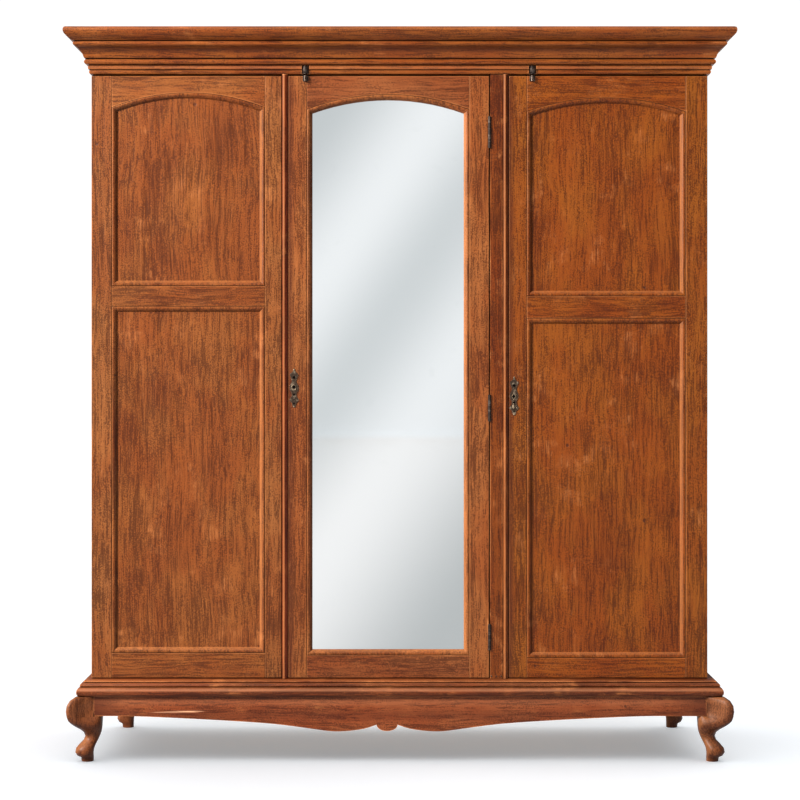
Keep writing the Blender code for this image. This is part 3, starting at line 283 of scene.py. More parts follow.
def aged_teak(name, grain, tone, start=0.0, worn=0.5, lift=1.6, dirt_and_shade_lines=(), lit_ridge=None, painted_light=1.0,
              lit_and_shaded_bands=(), splinter=None, corner_shade_reach=0.010):
    """Old polished teak: long figure, needle streaks and pores, rubbed edges, dirt and painted shade in
    the quirks.

    Dirt and shade lines are upright lines darkened by dirt and by painted shade beside a proud bead,
    each a place along X and a reach. Lit ridge is the place along X of a bead's ridge, worn pale
    and painted with a highlight. Painted light is how far slopes that look up or to the left are
    painted pale as if lit, and slopes that look down or to the right painted dark as shade. Lit and
    shaded bands are level lines painted pale as highlights, partly rubbing, or painted dark as shade
    where the amount is negative: height, reach, amount.
    Splinter is the first and last place along X, and the height, of a long torn splinter.
    Corner shade reach is how far the dirt and painted shade reach out of a corner."""
    teak = bpy.data.materials.new(name)
    teak.use_nodes = True
    wood = Graph(teak.node_tree)
    coat = teak.node_tree.nodes["Principled BSDF"]
    place = wood.node("ShaderNodeTexCoord")["Object"]
    shift = (start * 1.37, start * 0.71, start * 2.13)
    level = wood.node("ShaderNodeMapping", {}, {"Vector": place, "Location": shift})["Vector"]
    sway = wood.node("ShaderNodeTexNoise", {}, {"Vector": level, "Scale": 3.1, "Detail": 2.0})["Color"]
    sway = wood.node("ShaderNodeVectorMath", {"operation": "SCALE"}, {"Vector": sway, "Scale": 0.035})
    wavy = wood.node("ShaderNodeVectorMath", {}, [level, sway["Vector"]])["Vector"]
    along = wood.node("ShaderNodeMapping", {}, {"Vector": wavy, "Scale": GRAIN[grain]})["Vector"]
    stretched = wood.node("ShaderNodeMapping", {}, {"Vector": along, "Scale": LENGTHEN[grain]})["Vector"]
    broad = wood.noise(stretched, scale=10.0, detail=2.0, rough=0.5, swirl=0.4)
    figure = wood.noise(stretched, scale=75.0, detail=3.0, rough=0.6, swirl=0.1)
    streak = wood.noise(along, scale=190.0, detail=2.0, rough=0.6)
    pores = wood.noise(along, scale=310.0, detail=1.0)
    cloud = wood.noise(level, scale=5.0, detail=3.0, rough=0.6)
    speck = wood.noise(wavy, scale=360.0, detail=1.0, rough=0.7)
    depth = 0.5 + (broad - 0.5) * 1.0 + (figure - 0.5) * 0.8 + (streak - 0.5) * 1.3
    depth = depth + (pores - 0.5) * 1.7 + (speck - 0.5) * 1.9 + (cloud - 0.5) * 0.9
    pale = (tone[0] * 1.52, tone[1] * 1.62, tone[2] * 1.75, 1.0)
    deep = (tone[0] * 0.52, tone[1] * 0.48, tone[2] * 0.45, 1.0)
    colour = wood.mix(0.5 + (depth - 0.5) * lift, deep, pale)
    colour = wood.mix(pores.from_to(0.55, 0.70) * 0.30, colour, PORE_BROWN)
    drawn_out = wood.node("ShaderNodeMapping", {}, {"Vector": level, "Scale": LENGTHEN[grain]})["Vector"]
    warm = wood.noise(drawn_out, scale=9.0, detail=4.0, rough=0.62)
    cast = wood.mix(warm.from_to(0.36, 0.64), (0.92, 0.82, 0.72, 1.0), (1.06, 1.16, 1.26, 1.0))
    colour = wood.mix(1.0, colour, cast, "MULTIPLY")
    rubbed = wood.noise(level, scale=11.0, detail=5.0, rough=0.68).from_to(0.54, 0.70)
    needles = wood.noise(along, scale=260.0, detail=1.0).from_to(0.52, 0.66)
    scuff = rubbed * (needles * 0.8 + 0.2)
    colour = wood.mix(scuff * 0.5 * worn, colour, SCUFFED_TEAK)
    cells = wood.node("ShaderNodeTexVoronoi", {}, {"Vector": wavy, "Scale": 9.0})
    chosen = wood.node("ShaderNodeSeparateColor", {}, [cells["Color"]])["Red"]
    knocks = (chosen * 0.05 - cells["Distance"] - (pores - 0.5) * 0.03).from_to(0.0, 0.012)
    colour = wood.mix(knocks * 0.7, colour, KNOCK_BROWN)
    nicks = wood.node("ShaderNodeTexVoronoi", {}, {"Vector": along, "Scale": 26.0})
    nick_kind = wood.node("ShaderNodeSeparateColor", {}, [nicks["Color"]])["Green"]
    nick = (nick_kind * 0.16 - 0.10 - nicks["Distance"]).from_to(0.0, 0.02)
    colour = wood.mix(nick * 0.6 * worn, colour, NICKED_TEAK)
    tick_kind = wood.node("ShaderNodeSeparateColor", {}, [nicks["Color"]])["Blue"]
    tick = (tick_kind * 0.15 - 0.10 - nicks["Distance"]).from_to(0.0, 0.012)
    colour = wood.mix(tick * 0.75, colour, TICK_BROWN)
    spot_axes = wood.node("ShaderNodeSeparateXYZ", {}, [place])
    across = spot_axes["X"]
    # Level bands painted pale as highlights, partly rubbing, or painted dark as shade.
    for height, reach, amount in lit_and_shaded_bands:
        near = (1.0 - abs(spot_axes["Z"] - height) / reach).from_to(0.0, 1.0) * (0.5 + figure)
        mark = RUBBED_AND_LIT_TEAK if amount > 0 else BAND_SHADE
        colour = wood.mix(near * abs(amount), colour, mark)
    # Upright lines darkened by dirt and by painted shade beside a proud bead.
    for line, reach in dirt_and_shade_lines:
        near = (1.0 - abs(across - line) / reach).from_to(0.0, 1.0)
        colour = wood.mix(near * (0.35 + cloud * 0.7), colour, DIRT_AND_SHADE_BROWN)
    rub = wood.node(
        "ShaderNodeAmbientOcclusion",
        {"inside": True, "only_local": True, "samples": 5},
        {"Distance": 0.004},
    )["AO"]
    edge = (1.0 - rub).from_to(0.15, 0.55) * rubbed.sum("MAXIMUM", cloud.from_to(0.40, 0.62))
    if splinter is not None:
        first, last, level_of = splinter
        reach = (across - first).from_to(0.0, 0.12) * (last - across).from_to(0.0, 0.05)
        off = abs(spot_axes["Z"] - level_of - (across - first) * 0.018 + (figure - 0.5) * 0.004)
        torn = (reach * 0.0032 - off).from_to(0.0, 0.0012) * (0.35 + needles)
        colour = wood.mix(torn, colour, TORN_TEAK)
    # A painted highlight, worn pale too, along a bead's ridge.
    if lit_ridge is not None:
        edge = edge.sum("MAXIMUM", (0.0021 - abs(across - lit_ridge)).from_to(0.0, 0.0012) * figure * 1.1)
    colour = wood.mix(edge * worn, colour, WORN_AND_LIT_EDGE)
    # Painted light and shade: slopes that look up or to the left are painted pale as if lit, slopes that
    # look down or to the right painted dark.
    facing = wood.node("ShaderNodeSeparateXYZ", {}, [wood.node("ShaderNodeTexCoord")["Normal"]])
    facing_light = (facing["Z"] * 0.6 - facing["X"] * 0.8) * (0.0 - facing["Y"]).from_to(0.02, 0.25)
    colour = wood.mix(facing_light.from_to(0.12, 0.80) * 0.30 * painted_light, colour, LIT_FACE_TEAK)
    colour = wood.mix((0.0 - facing_light).from_to(0.10, 0.75) * 0.48 * painted_light, colour, SHADED_FACE_BROWN)
    # Painted shade with dirt: darker in corners, quirks and under overhangs.
    shade = wood.node("ShaderNodeAmbientOcclusion", {"samples": 8}, {"Distance": corner_shade_reach})["AO"]
    quirk_shade = (1.0 - shade).from_to(0.25, 0.66)
    colour = wood.mix(quirk_shade * 0.82, colour, QUIRK_DIRT_AND_SHADE)
    links = teak.node_tree.links
    links.new(colour.socket, coat.inputs["Base Color"])
    gloss = 0.44 + (figure - 0.5) * 0.3 + quirk_shade * 0.25 + scuff * 0.15
    links.new(gloss.socket, coat.inputs["Roughness"])
    relief = figure * 0.3 + streak * 0.5 + pores * 0.45 - knocks * 0.8 + cloud * 0.7 + scuff * 0.2
    bump = wood.node(
        "ShaderNodeBump", {}, {"Strength": 0.6, "Distance": 0.0011, "Height": relief}
    )["Normal"]
    links.new(bump.socket, coat.inputs["Normal"])
    coat.inputs["Specular IOR Level"].default_value = 0.15
    return teak


def dress(node, finish, width=0.0, sharpest=34):
    """Gives one carried solid its finish, and edges eased by a width. Sharpest is in degrees."""
    piece = wardrobe[node]
    piece.data.materials[0] = finish
    soft_edges(piece, width, sharpest)


# The legs carry bands of painted shade at the foot, at mid-height and under the base.
LEG_TEAK = aged_teak(
    "leg_teak", "Z", tint(86, 43, 19), start=3.1, worn=0.4, lift=1.9, painted_light=0.6,
    lit_and_shaded_bands=((0.012, 0.016, -0.5), (0.188, 0.020, -0.4), (0.098, 0.03, -0.25))
)
# The front apron is painted paler high up as a highlight and darker low down as shade.
APRON_TEAK = aged_teak(
    "apron_teak", "X", tint(102, 47, 20), start=5.2, worn=0.8, dirt_and_shade_lines=((-0.86, 0.15), (0.86, 0.15)),
    lit_and_shaded_bands=((0.164, 0.016, 0.08), (0.128, 0.024, -0.36)), splinter=(-0.722, -0.523, 0.1345), corner_shade_reach=0.005
)
SIDE_APRON_TEAK = aged_teak("side_apron_teak", "Y", tint(105, 52, 23), start=6.4, worn=0.6)
for leg in ("front_left_leg", "front_right_leg", "rear_left_leg", "rear_right_leg"):
    dress(leg, LEG_TEAK, LEG_EDGE, sharpest=62)
dress("front_apron", APRON_TEAK, LEG_EDGE)
dress("left_apron", SIDE_APRON_TEAK, LEG_EDGE)
dress("right_apron", SIDE_APRON_TEAK, LEG_EDGE)

# The base moulding is a mitred frame of teak with two rounded members, which the carcass
# stands on. Its ridges are rubbed pale by shoes and brooms, and carry a painted highlight.
BASE_TEAK = aged_teak(
    "base_teak", "X", tint(86, 38, 13), start=7.9, worn=1.0, painted_light=0.5,
    lit_and_shaded_bands=((0.1981, 0.006, 0.20),), corner_shade_reach=0.006
)
dress("base_moulding", BASE_TEAK, width=0.0006)

# The carcass: two teak sides with sunk fields, and pine inside where it isn't seen: floor,
# ceiling, partition, back boards nailed on, two shelves and a pole to hang clothes on.
SIDE_TEAK = aged_teak("side_teak", "Z", tint(105, 52, 16), start=9.3, worn=0.6)
BOARD_EDGE = 0.001
dress("left_side", SIDE_TEAK, BOARD_EDGE)
dress("right_side", SIDE_TEAK, BOARD_EDGE)


def dry_pine(name, grain, start=0.0, boards=None):
    """Unpolished pine gone brown with age, with soft rings, small knots and dust.

    Boards is the width of boards laid side by side along X, each with a grain of its own."""
    pine = bpy.data.materials.new(name)
    pine.use_nodes = True
    wood = Graph(pine.node_tree)
    coat = pine.node_tree.nodes["Principled BSDF"]
    place = wood.node("ShaderNodeTexCoord")["Object"]
    shift = (start, start * 0.37, start * 1.9)
    level = wood.node("ShaderNodeMapping", {}, {"Vector": place, "Location": shift})["Vector"]
    tone_shift = 0.0
    if boards:
        count = wood.node("ShaderNodeSeparateXYZ", {}, [place])["X"] / boards + 40.5
        count = count.sum("FLOOR", count)
        hop = wood.node("ShaderNodeCombineXYZ", {}, [0.0, count * 1.7, count * 2.9])["Vector"]
        level = wood.node("ShaderNodeVectorMath", {}, [level, hop])["Vector"]
        tone_shift = ((count * 0.618).sum("FRACT", count * 0.618) - 0.5) * 0.35
    along = wood.node("ShaderNodeMapping", {}, {"Vector": level, "Scale": GRAIN[grain]})["Vector"]
    rings = wood.noise(along, scale=38.0, detail=4.0, rough=0.6, swirl=0.8)
    fibre = wood.noise(along, scale=420.0, detail=2.0)
    stain = wood.noise(level, scale=3.2, detail=4.0, rough=0.6)
    tone = (rings * 0.75 + fibre * 0.25).from_to(0.30, 0.72) * 0.75 + stain * 0.3 + tone_shift
    colour = wood.mix(tone, tint(128, 90, 56), tint(182, 141, 94))
    colour = wood.mix(stain.from_to(0.5, 0.75) * 0.4, colour, tint(104, 72, 44))
    round_knots = wood.node("ShaderNodeMapping", {}, {"Vector": level, "Scale": LENGTHEN[grain]})["Vector"]
    cells = wood.node("ShaderNodeTexVoronoi", {}, {"Vector": round_knots, "Scale": 4.5})
    chosen = wood.node("ShaderNodeSeparateColor", {}, [cells["Color"]])["Red"]
    knot = (chosen * 0.12 - 0.05 - cells["Distance"] - (rings - 0.5) * 0.05).from_to(0.0, 0.02)
    colour = wood.mix(knot * 0.8, colour, tint(70, 40, 22))
    links = pine.node_tree.links
    links.new(colour.socket, coat.inputs["Base Color"])
    links.new((0.62 + fibre * 0.2).socket, coat.inputs["Roughness"])
    relief = rings * 0.4 + fibre * 0.6
    bump = wood.node(
        "ShaderNodeBump", {}, {"Strength": 0.5, "Distance": 0.0007, "Height": relief}
    )["Normal"]
    links.new(bump.socket, coat.inputs["Normal"])
    coat.inputs["Specular IOR Level"].default_value = 0.25
    return pine


BACK_BOARD_WIDTH = 0.15504
PINE_ACROSS = dry_pine("pine_across", "X", start=1.0)
PINE_UPRIGHT = dry_pine("pine_upright", "Z", start=2.0)
PINE_BOARDS = dry_pine("pine_boards", "Z", start=3.0, boards=BACK_BOARD_WIDTH)
for board in ("bottom_board", "top_board", "lower_shelf", "upper_shelf", "hanging_pole"):
    dress(board, PINE_ACROSS, BOARD_EDGE)
dress("partition", PINE_UPRIGHT)
dress("back_panel", PINE_BOARDS)

# Two uprights face the front edges between the doors. Each carries a planted half-round bead, worn
# pale and painted with a highlight along its ridge, and the broader one on the right carries the hinges.
FIRST_RIDGE = -0.3206
SECOND_RIDGE = 0.2897
MULLION_TEAK = aged_teak(
    "mullion_teak", "Z", tint(82, 28, 6), start=11.7, worn=1.0, lit_ridge=FIRST_RIDGE, painted_light=0.25
)
POST_TEAK = aged_teak(
    "post_teak", "Z", tint(87, 36, 4), start=12.9, worn=1.0, lit_ridge=SECOND_RIDGE, painted_light=0.3
)
dress("centre_mullion", MULLION_TEAK, width=0.0006)
dress("hinge_post", POST_TEAK, width=0.0006)

# The cornice is built up of mitred mouldings: a heavy top member, a hollow, a bead and two
# fillets over the doors. It sits loose on the ceiling board and hides it.
# Its finish has one broad dark band of painted shade and two narrow bands of painted highlight.
CORNICE_TEAK = aged_teak(
    "cornice_teak", "X", tint(98, 45, 8), start=14.2, worn=0.8, lift=1.9,
    lit_and_shaded_bands=((1.9610, 0.013, -0.5), (1.9129, 0.005, 0.10), (2.012, 0.006, 0.08)),
    painted_light=0.35, corner_shade_reach=0.007
)
dress("cornice", CORNICE_TEAK, width=0.0009)

# The left door has faded to a paler, pinker brown than its neighbours: stiles, three rails
# and two panels whose mouldings are planted round them.
FRAME_EDGE = 0.0004
PANEL_EDGE = 0.0007
LEFT_STILE = aged_teak("left_stile_teak", "Z", tint(101, 53, 20), start=17.3, worn=0.8, lift=2.1)
LEFT_RAIL = aged_teak("left_rail_teak", "X", tint(100, 50, 16), start=18.9, worn=0.6)
LEFT_PANEL = aged_teak("left_panel_teak", "Z", tint(99, 49, 15), start=21.4, worn=0.9)
for part in ("outer_stile", "inner_stile"):
    dress("left_door_" + part, LEFT_STILE, FRAME_EDGE)
for part in ("top_rail", "mid_rail", "bottom_rail"):
    dress("left_door_" + part, LEFT_RAIL, FRAME_EDGE)
for part in ("lower_panel", "upper_panel"):
    dress("left_door_" + part, LEFT_PANEL, PANEL_EDGE)

# The mirror door: a teak frame with an arched head, a moulding planted round the opening,
# the silvered glass behind it and a thin backing board that keeps the silver from scratches.
# The lock stile is darkened near the bead by dirt and by painted shade.
LOCK_STILE_DIRT_AND_SHADE = ((-0.3085, 0.022),)
MIRROR_STILE = aged_teak(
    "mirror_stile_teak", "Z", tint(108, 56, 22), start=24.1, worn=0.8, lift=1.9, dirt_and_shade_lines=LOCK_STILE_DIRT_AND_SHADE
)
MIRROR_RAIL = aged_teak("mirror_rail_teak", "X", tint(99, 49, 20), start=26.6, worn=0.6)
for part in ("lock_stile", "hinge_stile"):
    dress("mirror_door_" + part, MIRROR_STILE, FRAME_EDGE)
for part in ("top_rail", "bottom_rail"):
    dress("mirror_door_" + part, MIRROR_RAIL, FRAME_EDGE)
dress("mirror_moulding", MIRROR_STILE, PANEL_EDGE)

silver = bpy.data.materials.new("silvering_with_painted_reflection")
silver.use_nodes = True
silvered = Graph(silver.node_tree)
silver_coat = silver.node_tree.nodes["Principled BSDF"]
spot = silvered.node("ShaderNodeTexCoord")["Object"]
across = silvered.node("ShaderNodeSeparateXYZ", {}, [spot])
# The silver's colour carries a painted reflection: soft diagonal pale and grey bands, and a warmer tone
# below a height of about 0.9 m.
slant = (across["X"] * 1.43 - across["Z"] + 2.10) * 0.5
reflection_bands = silvered.node(
    "ShaderNodeValToRGB",
    {"stops": ((0.0, (0.52, 0.55, 0.56)), (0.23, (0.80, 0.82, 0.83)), (0.41, (0.59, 0.62, 0.63)),
               (0.61, (0.79, 0.81, 0.82)), (0.97, (0.43, 0.46, 0.47)))},
    {"Fac": slant},
)
reflection_bands.node.color_ramp.interpolation = "EASE"
mottle = silvered.noise(spot, scale=18.0, detail=3.0)
low = (0.905 - across["Z"]).from_to(0.0, 0.025)
warm_reflection = silvered.mix(low, reflection_bands["Color"], (0.955, 0.91, 0.875, 1.0), "MULTIPLY")
silver_colour = silvered.mix(mottle.from_to(0.6, 0.8) * 0.06, warm_reflection, tint(170, 176, 176))
silver.node_tree.links.new(silver_colour.socket, silver_coat.inputs["Base Color"])
silver.node_tree.links.new((0.03 + mottle * 0.03).socket, silver_coat.inputs["Roughness"])
silver_coat.inputs["Metallic"].default_value = 1.0
dress("mirror_glass", silver)

# The right door kept more of its colour: a deeper, more orange brown, made as the left one
# but hung on its outer edge the other way round.
# Its lock stile is darkened near the bead by dirt and by painted shade.
RIGHT_STILE = aged_teak(
    "right_stile_teak", "Z", tint(100, 48, 7), start=29.8, worn=0.8, lift=2.1, dirt_and_shade_lines=((0.3013, 0.022),)
)
RIGHT_RAIL = aged_teak("right_rail_teak", "X", tint(100, 44, 4), start=31.5, worn=0.6)
RIGHT_PANEL = aged_teak("right_panel_teak", "Z", tint(99, 45, 5), start=33.3, worn=0.9)
for part in ("lock_stile", "outer_stile"):
    dress("right_door_" + part, RIGHT_STILE, FRAME_EDGE)
for part in ("top_rail", "mid_rail", "bottom_rail"):
    dress("right_door_" + part, RIGHT_RAIL, FRAME_EDGE)
for part in ("lower_panel", "upper_panel"):
    dress("right_door_" + part, RIGHT_PANEL, PANEL_EDGE)


# Ironwork: three butt hinges whose knuckles stand out between the mirror door and its post,
# pin pivots at the outer corners of the side doors, and two small slide bolts as catches.
def old_metal(name, dark, bright, rough, metal, shine=0.5):
    """Forged or cast metal gone dark, brighter where hands and keys rub it."""
    finish = bpy.data.materials.new(name)
    finish.use_nodes = True
    skin = Graph(finish.node_tree)
    coat = finish.node_tree.nodes["Principled BSDF"]
    place = skin.node("ShaderNodeTexCoord")["Object"]
    patch = skin.noise(place, scale=90.0, detail=4.0, rough=0.6)
    grit = skin.noise(place, scale=900.0, detail=2.0)
    rub = skin.node(
        "ShaderNodeAmbientOcclusion",
        {"inside": True, "only_local": True, "samples": 6},
        {"Distance": 0.0015},
    )["AO"]
    edge = (1.0 - rub).from_to(0.25, 0.7)
    share = (patch.from_to(0.42, 0.7) * 0.45 + edge * 0.7).from_to(0.0, 1.0)
    colour = skin.mix(share, dark, bright)
    links = finish.node_tree.links
    links.new(colour.socket, coat.inputs["Base Color"])
    links.new((rough + grit * 0.2 - edge * 0.12).socket, coat.inputs["Roughness"])
    links.new((metal - patch.from_to(0.5, 0.8) * 0.4).socket, coat.inputs["Metallic"])
    bump = skin.node(
        "ShaderNodeBump", {}, {"Strength": 0.4, "Distance": 0.0004, "Height": patch + grit * 0.5}
    )["Normal"]
    links.new(bump.socket, coat.inputs["Normal"])
    coat.inputs["Specular IOR Level"].default_value = shine
    return finish


METAL_EDGE = 0.0003
IRON = old_metal("worked_iron", tint(46, 38, 34), tint(120, 102, 90), rough=0.42, metal=0.85)
for number in (1, 2, 3):
    dress(f"fixed_hinge_leaf_{number}", IRON, METAL_EDGE)
    dress(f"door_hinge_leaf_{number}", IRON, METAL_EDGE)
for side in ("left", "right"):
    dress(side + "_top_pivot", IRON, METAL_EDGE)
    dress(side + "_bottom_pivot", IRON, METAL_EDGE)
for side in ("mirror", "right"):
    for part in ("case", "keeper", "bolt"):
        dress(f"{side}_catch_{part}", IRON, METAL_EDGE)


# Slotted iron screws hold the hinge leaves. Their heads sit in the countersinks, a quarter of
# a millimetre proud, each slot stopped at its own angle.
def pick(piece):
    """Leaves one piece selected and active, and nothing else."""
    bpy.ops.object.select_all(action="DESELECT")
    bpy.context.view_layer.objects.active = piece
    piece.select_set(True)


def turned_piece(name, steps, sides=20):
    """A lathe-turned piece standing on the origin: one radius and height for each step."""
    bpy.ops.object.select_all(action="DESELECT")
    radius, height = steps[0]
    bpy.ops.mesh.primitive_circle_add(vertices=sides, radius=radius, fill_type="NGON")
    piece = bpy.context.object
    piece.name = name
    bpy.ops.object.mode_set(mode="EDIT")
    bpy.ops.mesh.select_all(action="SELECT")
    bpy.ops.transform.translate(value=(0, 0, height))
    for next_radius, next_height in steps[1:]:
        rise = (0, 0, next_height - height)
        bpy.ops.mesh.extrude_region_move(TRANSFORM_OT_translate={"value": rise})
        share = next_radius / radius
        bpy.ops.transform.resize(value=(share, share, 1), center_override=(0, 0, next_height))
        radius, height = next_radius, next_height
    bpy.ops.mesh.select_all(action="SELECT")
    bpy.ops.mesh.normals_make_consistent(inside=False)
    bpy.ops.object.mode_set(mode="OBJECT")
    return piece


def cut_away(piece, place, size):
    """Takes a square block out of a piece, as a saw or chisel does."""
    bpy.ops.object.select_all(action="DESELECT")
    bpy.ops.mesh.primitive_cube_add(size=1, location=place)
    tool = bpy.context.object
    tool.scale = size
    pick(piece)
    saw = piece.modifiers.new("saw", "BOOLEAN")
    saw.operation = "DIFFERENCE"
    saw.solver = "EXACT"
    saw.object = tool
    bpy.ops.object.modifier_apply(modifier="saw")
    bpy.data.objects.remove(tool)


def smoothed(piece, degrees=35):
    """Smooth shading, with edges sharper than this left crisp."""
    pick(piece)
    bpy.ops.object.shade_smooth_by_angle(angle=math.radians(degrees))


def fixed_at(piece, place, turn, body, finish):
    """Puts a finished piece in its place, and gives it to its body and finish."""
    piece.location = place
    piece.rotation_euler = turn
    pick(piece)
    bpy.ops.object.transform_apply(location=True, rotation=True, scale=True)
    piece.data.materials.clear()
    piece.data.materials.append(finish)
    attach(piece, body)


def copy_of(pattern, name):
    """A copy of a pattern piece, with a mesh of its own."""
    piece = pattern.copy()
    piece.data = pattern.data.copy()
    piece.name = name
    bpy.context.scene.collection.objects.link(piece)
    return piece


RIGHT_ANGLE = math.radians(90)
TO_RIGHT = (0, RIGHT_ANGLE, 0)
TO_LEFT = (0, -RIGHT_ANGLE, 0)
TO_FRONT = (RIGHT_ANGLE, 0, 0)
TO_BACK = (-RIGHT_ANGLE, 0, 0)
UPRIGHT = (0, 0, 0)

SCREW_STEPS = ((0.0020, -0.0010), (0.0031, -0.0002), (0.0033, 0.0), (0.0032, 0.0001), (0.0024, 0.00022))
pattern_screw = turned_piece("pattern_screw", SCREW_STEPS, 24)
cut_away(pattern_screw, place=(0, 0, 0.0003), size=(0.0080, 0.0009, 0.0008))
smoothed(pattern_screw)
LEAF_MIDDLE_Y = -0.2325
DOOR_LEAF_X = 0.2471
FIXED_LEAF_X = 0.2477
for number in (1, 2, 3):
    low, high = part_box(f"fixed_hinge_leaf_{number}")
    for row, share in enumerate((0.16, 0.5, 0.84)):
        height = low.z + (high.z - low.z) * share
        depth = LEAF_MIDDLE_Y + (0.004 if row == 1 else -0.002)
        for kind, edge_x, turn, body in (
            ("door", DOOR_LEAF_X, TO_RIGHT, "mirror_door"), ("fixed", FIXED_LEAF_X, TO_LEFT, "root")
        ):
            screw = copy_of(pattern_screw, f"{kind}_hinge_{number}_screw_{row + 1}")
            spin = math.radians(23 + 67 * row + 31 * number)
            screw.rotation_euler = (0, 0, spin)
            pick(screw)
            bpy.ops.object.transform_apply(location=False, rotation=True, scale=False)
            fixed_at(screw, (edge_x, depth, height), turn, body, IRON)

# Three wrought nails with domed heads hold the foot of the hinge post to the base, and each
# catch has a domed cap riveted over its keeper.
NAIL_STEPS = ((0.0010, -0.0015), (0.0018, 0.0), (0.0019, 0.0003), (0.0014, 0.0008), (0.0006, 0.0010))
pattern_nail = turned_piece("pattern_nail", NAIL_STEPS, 12)
smoothed(pattern_nail, degrees=60)
POST_FOOT_Z = 0.2318
for number, nail_x in enumerate((0.2530, 0.2665, 0.2795)):
    nail = copy_of(pattern_nail, f"post_nail_{number + 1}")
    fixed_at(nail, (nail_x, DOOR_FACE_Y, POST_FOOT_Z), TO_FRONT, "root", IRON)

CAP_STEPS = ((0.0062, -0.0012), (0.0070, 0.0), (0.0068, 0.0014), (0.0056, 0.0028), (0.0036, 0.0038),
             (0.0014, 0.0042))
for side in ("mirror", "right"):
    low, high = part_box(side + "_catch_keeper")
    cap = turned_piece(side + "_catch_cap", CAP_STEPS, 28)
    cap.scale = (1.0, 1.45, 1.0)
    smoothed(cap, degrees=60)
    middle = ((low.x + high.x) / 2, low.y + 0.0004, (low.z + high.z) / 2)
    fixed_at(cap, middle, TO_FRONT, "root", IRON)

# The lock plates are pierced castings of brass gone nearly black, with a round boss over the
# keyhole. The locks' bolts slide to the left into the uprights.
BRASS = old_metal("blackened_brass", tint(66, 52, 42), tint(176, 154, 128), rough=0.34, metal=0.95)
WORN_BRASS = old_metal("worn_brass", tint(88, 74, 60), tint(190, 168, 138), rough=0.36, metal=0.9)
for node in ("mirror_door_lock_plate", "right_door_lock_plate", "mirror_lock_bolt", "right_lock_bolt"):
    dress(node, BRASS, METAL_EDGE)

# What shows on the plates: near-black discs in the piercings that paint the shade inside them, a
# worn ring round the mirror door's keyhole, a pointed frame and a hanging drop over the right door's, and
# brass pins.
PLATE_FACE_Y = -0.2458
BOSS_FACE_Y = -0.2470
CUP_STEPS = ((0.0040, -0.0015), (0.0040, 0.0003), (0.0037, 0.0005), (0.0010, 0.0005))
# A dull near-black that paints the shade inside holes.
HOLE_SHADE_BLACK = old_metal("painted_hole_shade", tint(6, 5, 4), tint(12, 10, 8), rough=0.8, metal=0.0, shine=0.02)
PLATES = (("mirror_door", -0.2929, 1.0285), ("right_door", 0.3152, 1.0064))
PIERCINGS = ((0.0292, 1.0), (-0.0178, 0.72), (-0.0427, 0.60))
PINS = ((0.0, 0.0505), (0.0, -0.0510), (-0.0080, -0.0318), (0.0088, -0.0338))
for body, middle_x, middle_z in PLATES:
    for number, (rise, share) in enumerate(PIERCINGS):
        cup = turned_piece(f"{body}_plate_cup_{number + 1}", CUP_STEPS, 20)
        cup.scale = (share, share, 1.0)
        smoothed(cup, degrees=50)
        place = (middle_x, PLATE_FACE_Y, middle_z + rise)
        fixed_at(cup, place, TO_FRONT, body, HOLE_SHADE_BLACK)
    for number, (off, rise) in enumerate(PINS):
        pin = turned_piece(f"{body}_plate_pin_{number + 1}", NAIL_STEPS, 14)
        pin.scale = (0.85, 0.85, 1.0)
        smoothed(pin, degrees=60)
        place = (middle_x + off, PLATE_FACE_Y, middle_z + rise)
        fixed_at(pin, place, TO_FRONT, body, WORN_BRASS)


def edges_eased(piece, width, segments=2):
    """Takes the sharpness off a new piece's edges."""
    pick(piece)
    eased = piece.modifiers.new("eased", "BEVEL")
    eased.width = width
    eased.segments = segments
    bpy.ops.object.modifier_apply(modifier="eased")


def bent_ring(name, across, tall, thick, corners):
    """A ring of round wire. Corners is how many points it has, so 4 makes a lozenge."""
    wire_share = 0.12
    bpy.ops.object.select_all(action="DESELECT")
    bpy.ops.mesh.primitive_torus_add(
        major_segments=corners, minor_segments=8, major_radius=1.0, minor_radius=wire_share
    )
    ring = bpy.context.object
    ring.name = name
    ring.scale = (across, tall, thick / wire_share)
    bpy.ops.object.transform_apply(location=False, rotation=False, scale=True)
    if corners < 12:
        edges_eased(ring, width=0.0005)
    smoothed(ring, degrees=60)
    return ring


keyhole_ring = bent_ring("mirror_keyhole_ring", across=0.0062, tall=0.0066, thick=0.0011, corners=28)
fixed_at(keyhole_ring, (-0.2933, BOSS_FACE_Y, 1.0300), TO_FRONT, "mirror_door", WORN_BRASS)
# A near-black disc in the keyhole paints the shade inside it.
keyhole_cup = turned_piece("mirror_keyhole_cup", CUP_STEPS, 24)
keyhole_cup.scale = (1.15, 1.15, 1.0)
smoothed(keyhole_cup, degrees=50)
fixed_at(keyhole_cup, (-0.2929, -0.2471, 1.0322), TO_FRONT, "mirror_door", HOLE_SHADE_BLACK)

RIGHT_KEYHOLE = (0.3140, BOSS_FACE_Y, 1.0052)
keyhole_frame = bent_ring("right_keyhole_frame", across=0.0052, tall=0.0088, thick=0.0010, corners=4)
fixed_at(keyhole_frame, RIGHT_KEYHOLE, TO_FRONT, "right_door", WORN_BRASS)
# A near-black lozenge in the keyhole paints the shade inside it.
keyhole_shade = turned_piece("right_keyhole_cup", CUP_STEPS, 4)
keyhole_shade.scale = (1.25, 2.1, 1.0)
smoothed(keyhole_shade, degrees=50)
fixed_at(keyhole_shade, RIGHT_KEYHOLE, TO_FRONT, "right_door", HOLE_SHADE_BLACK)

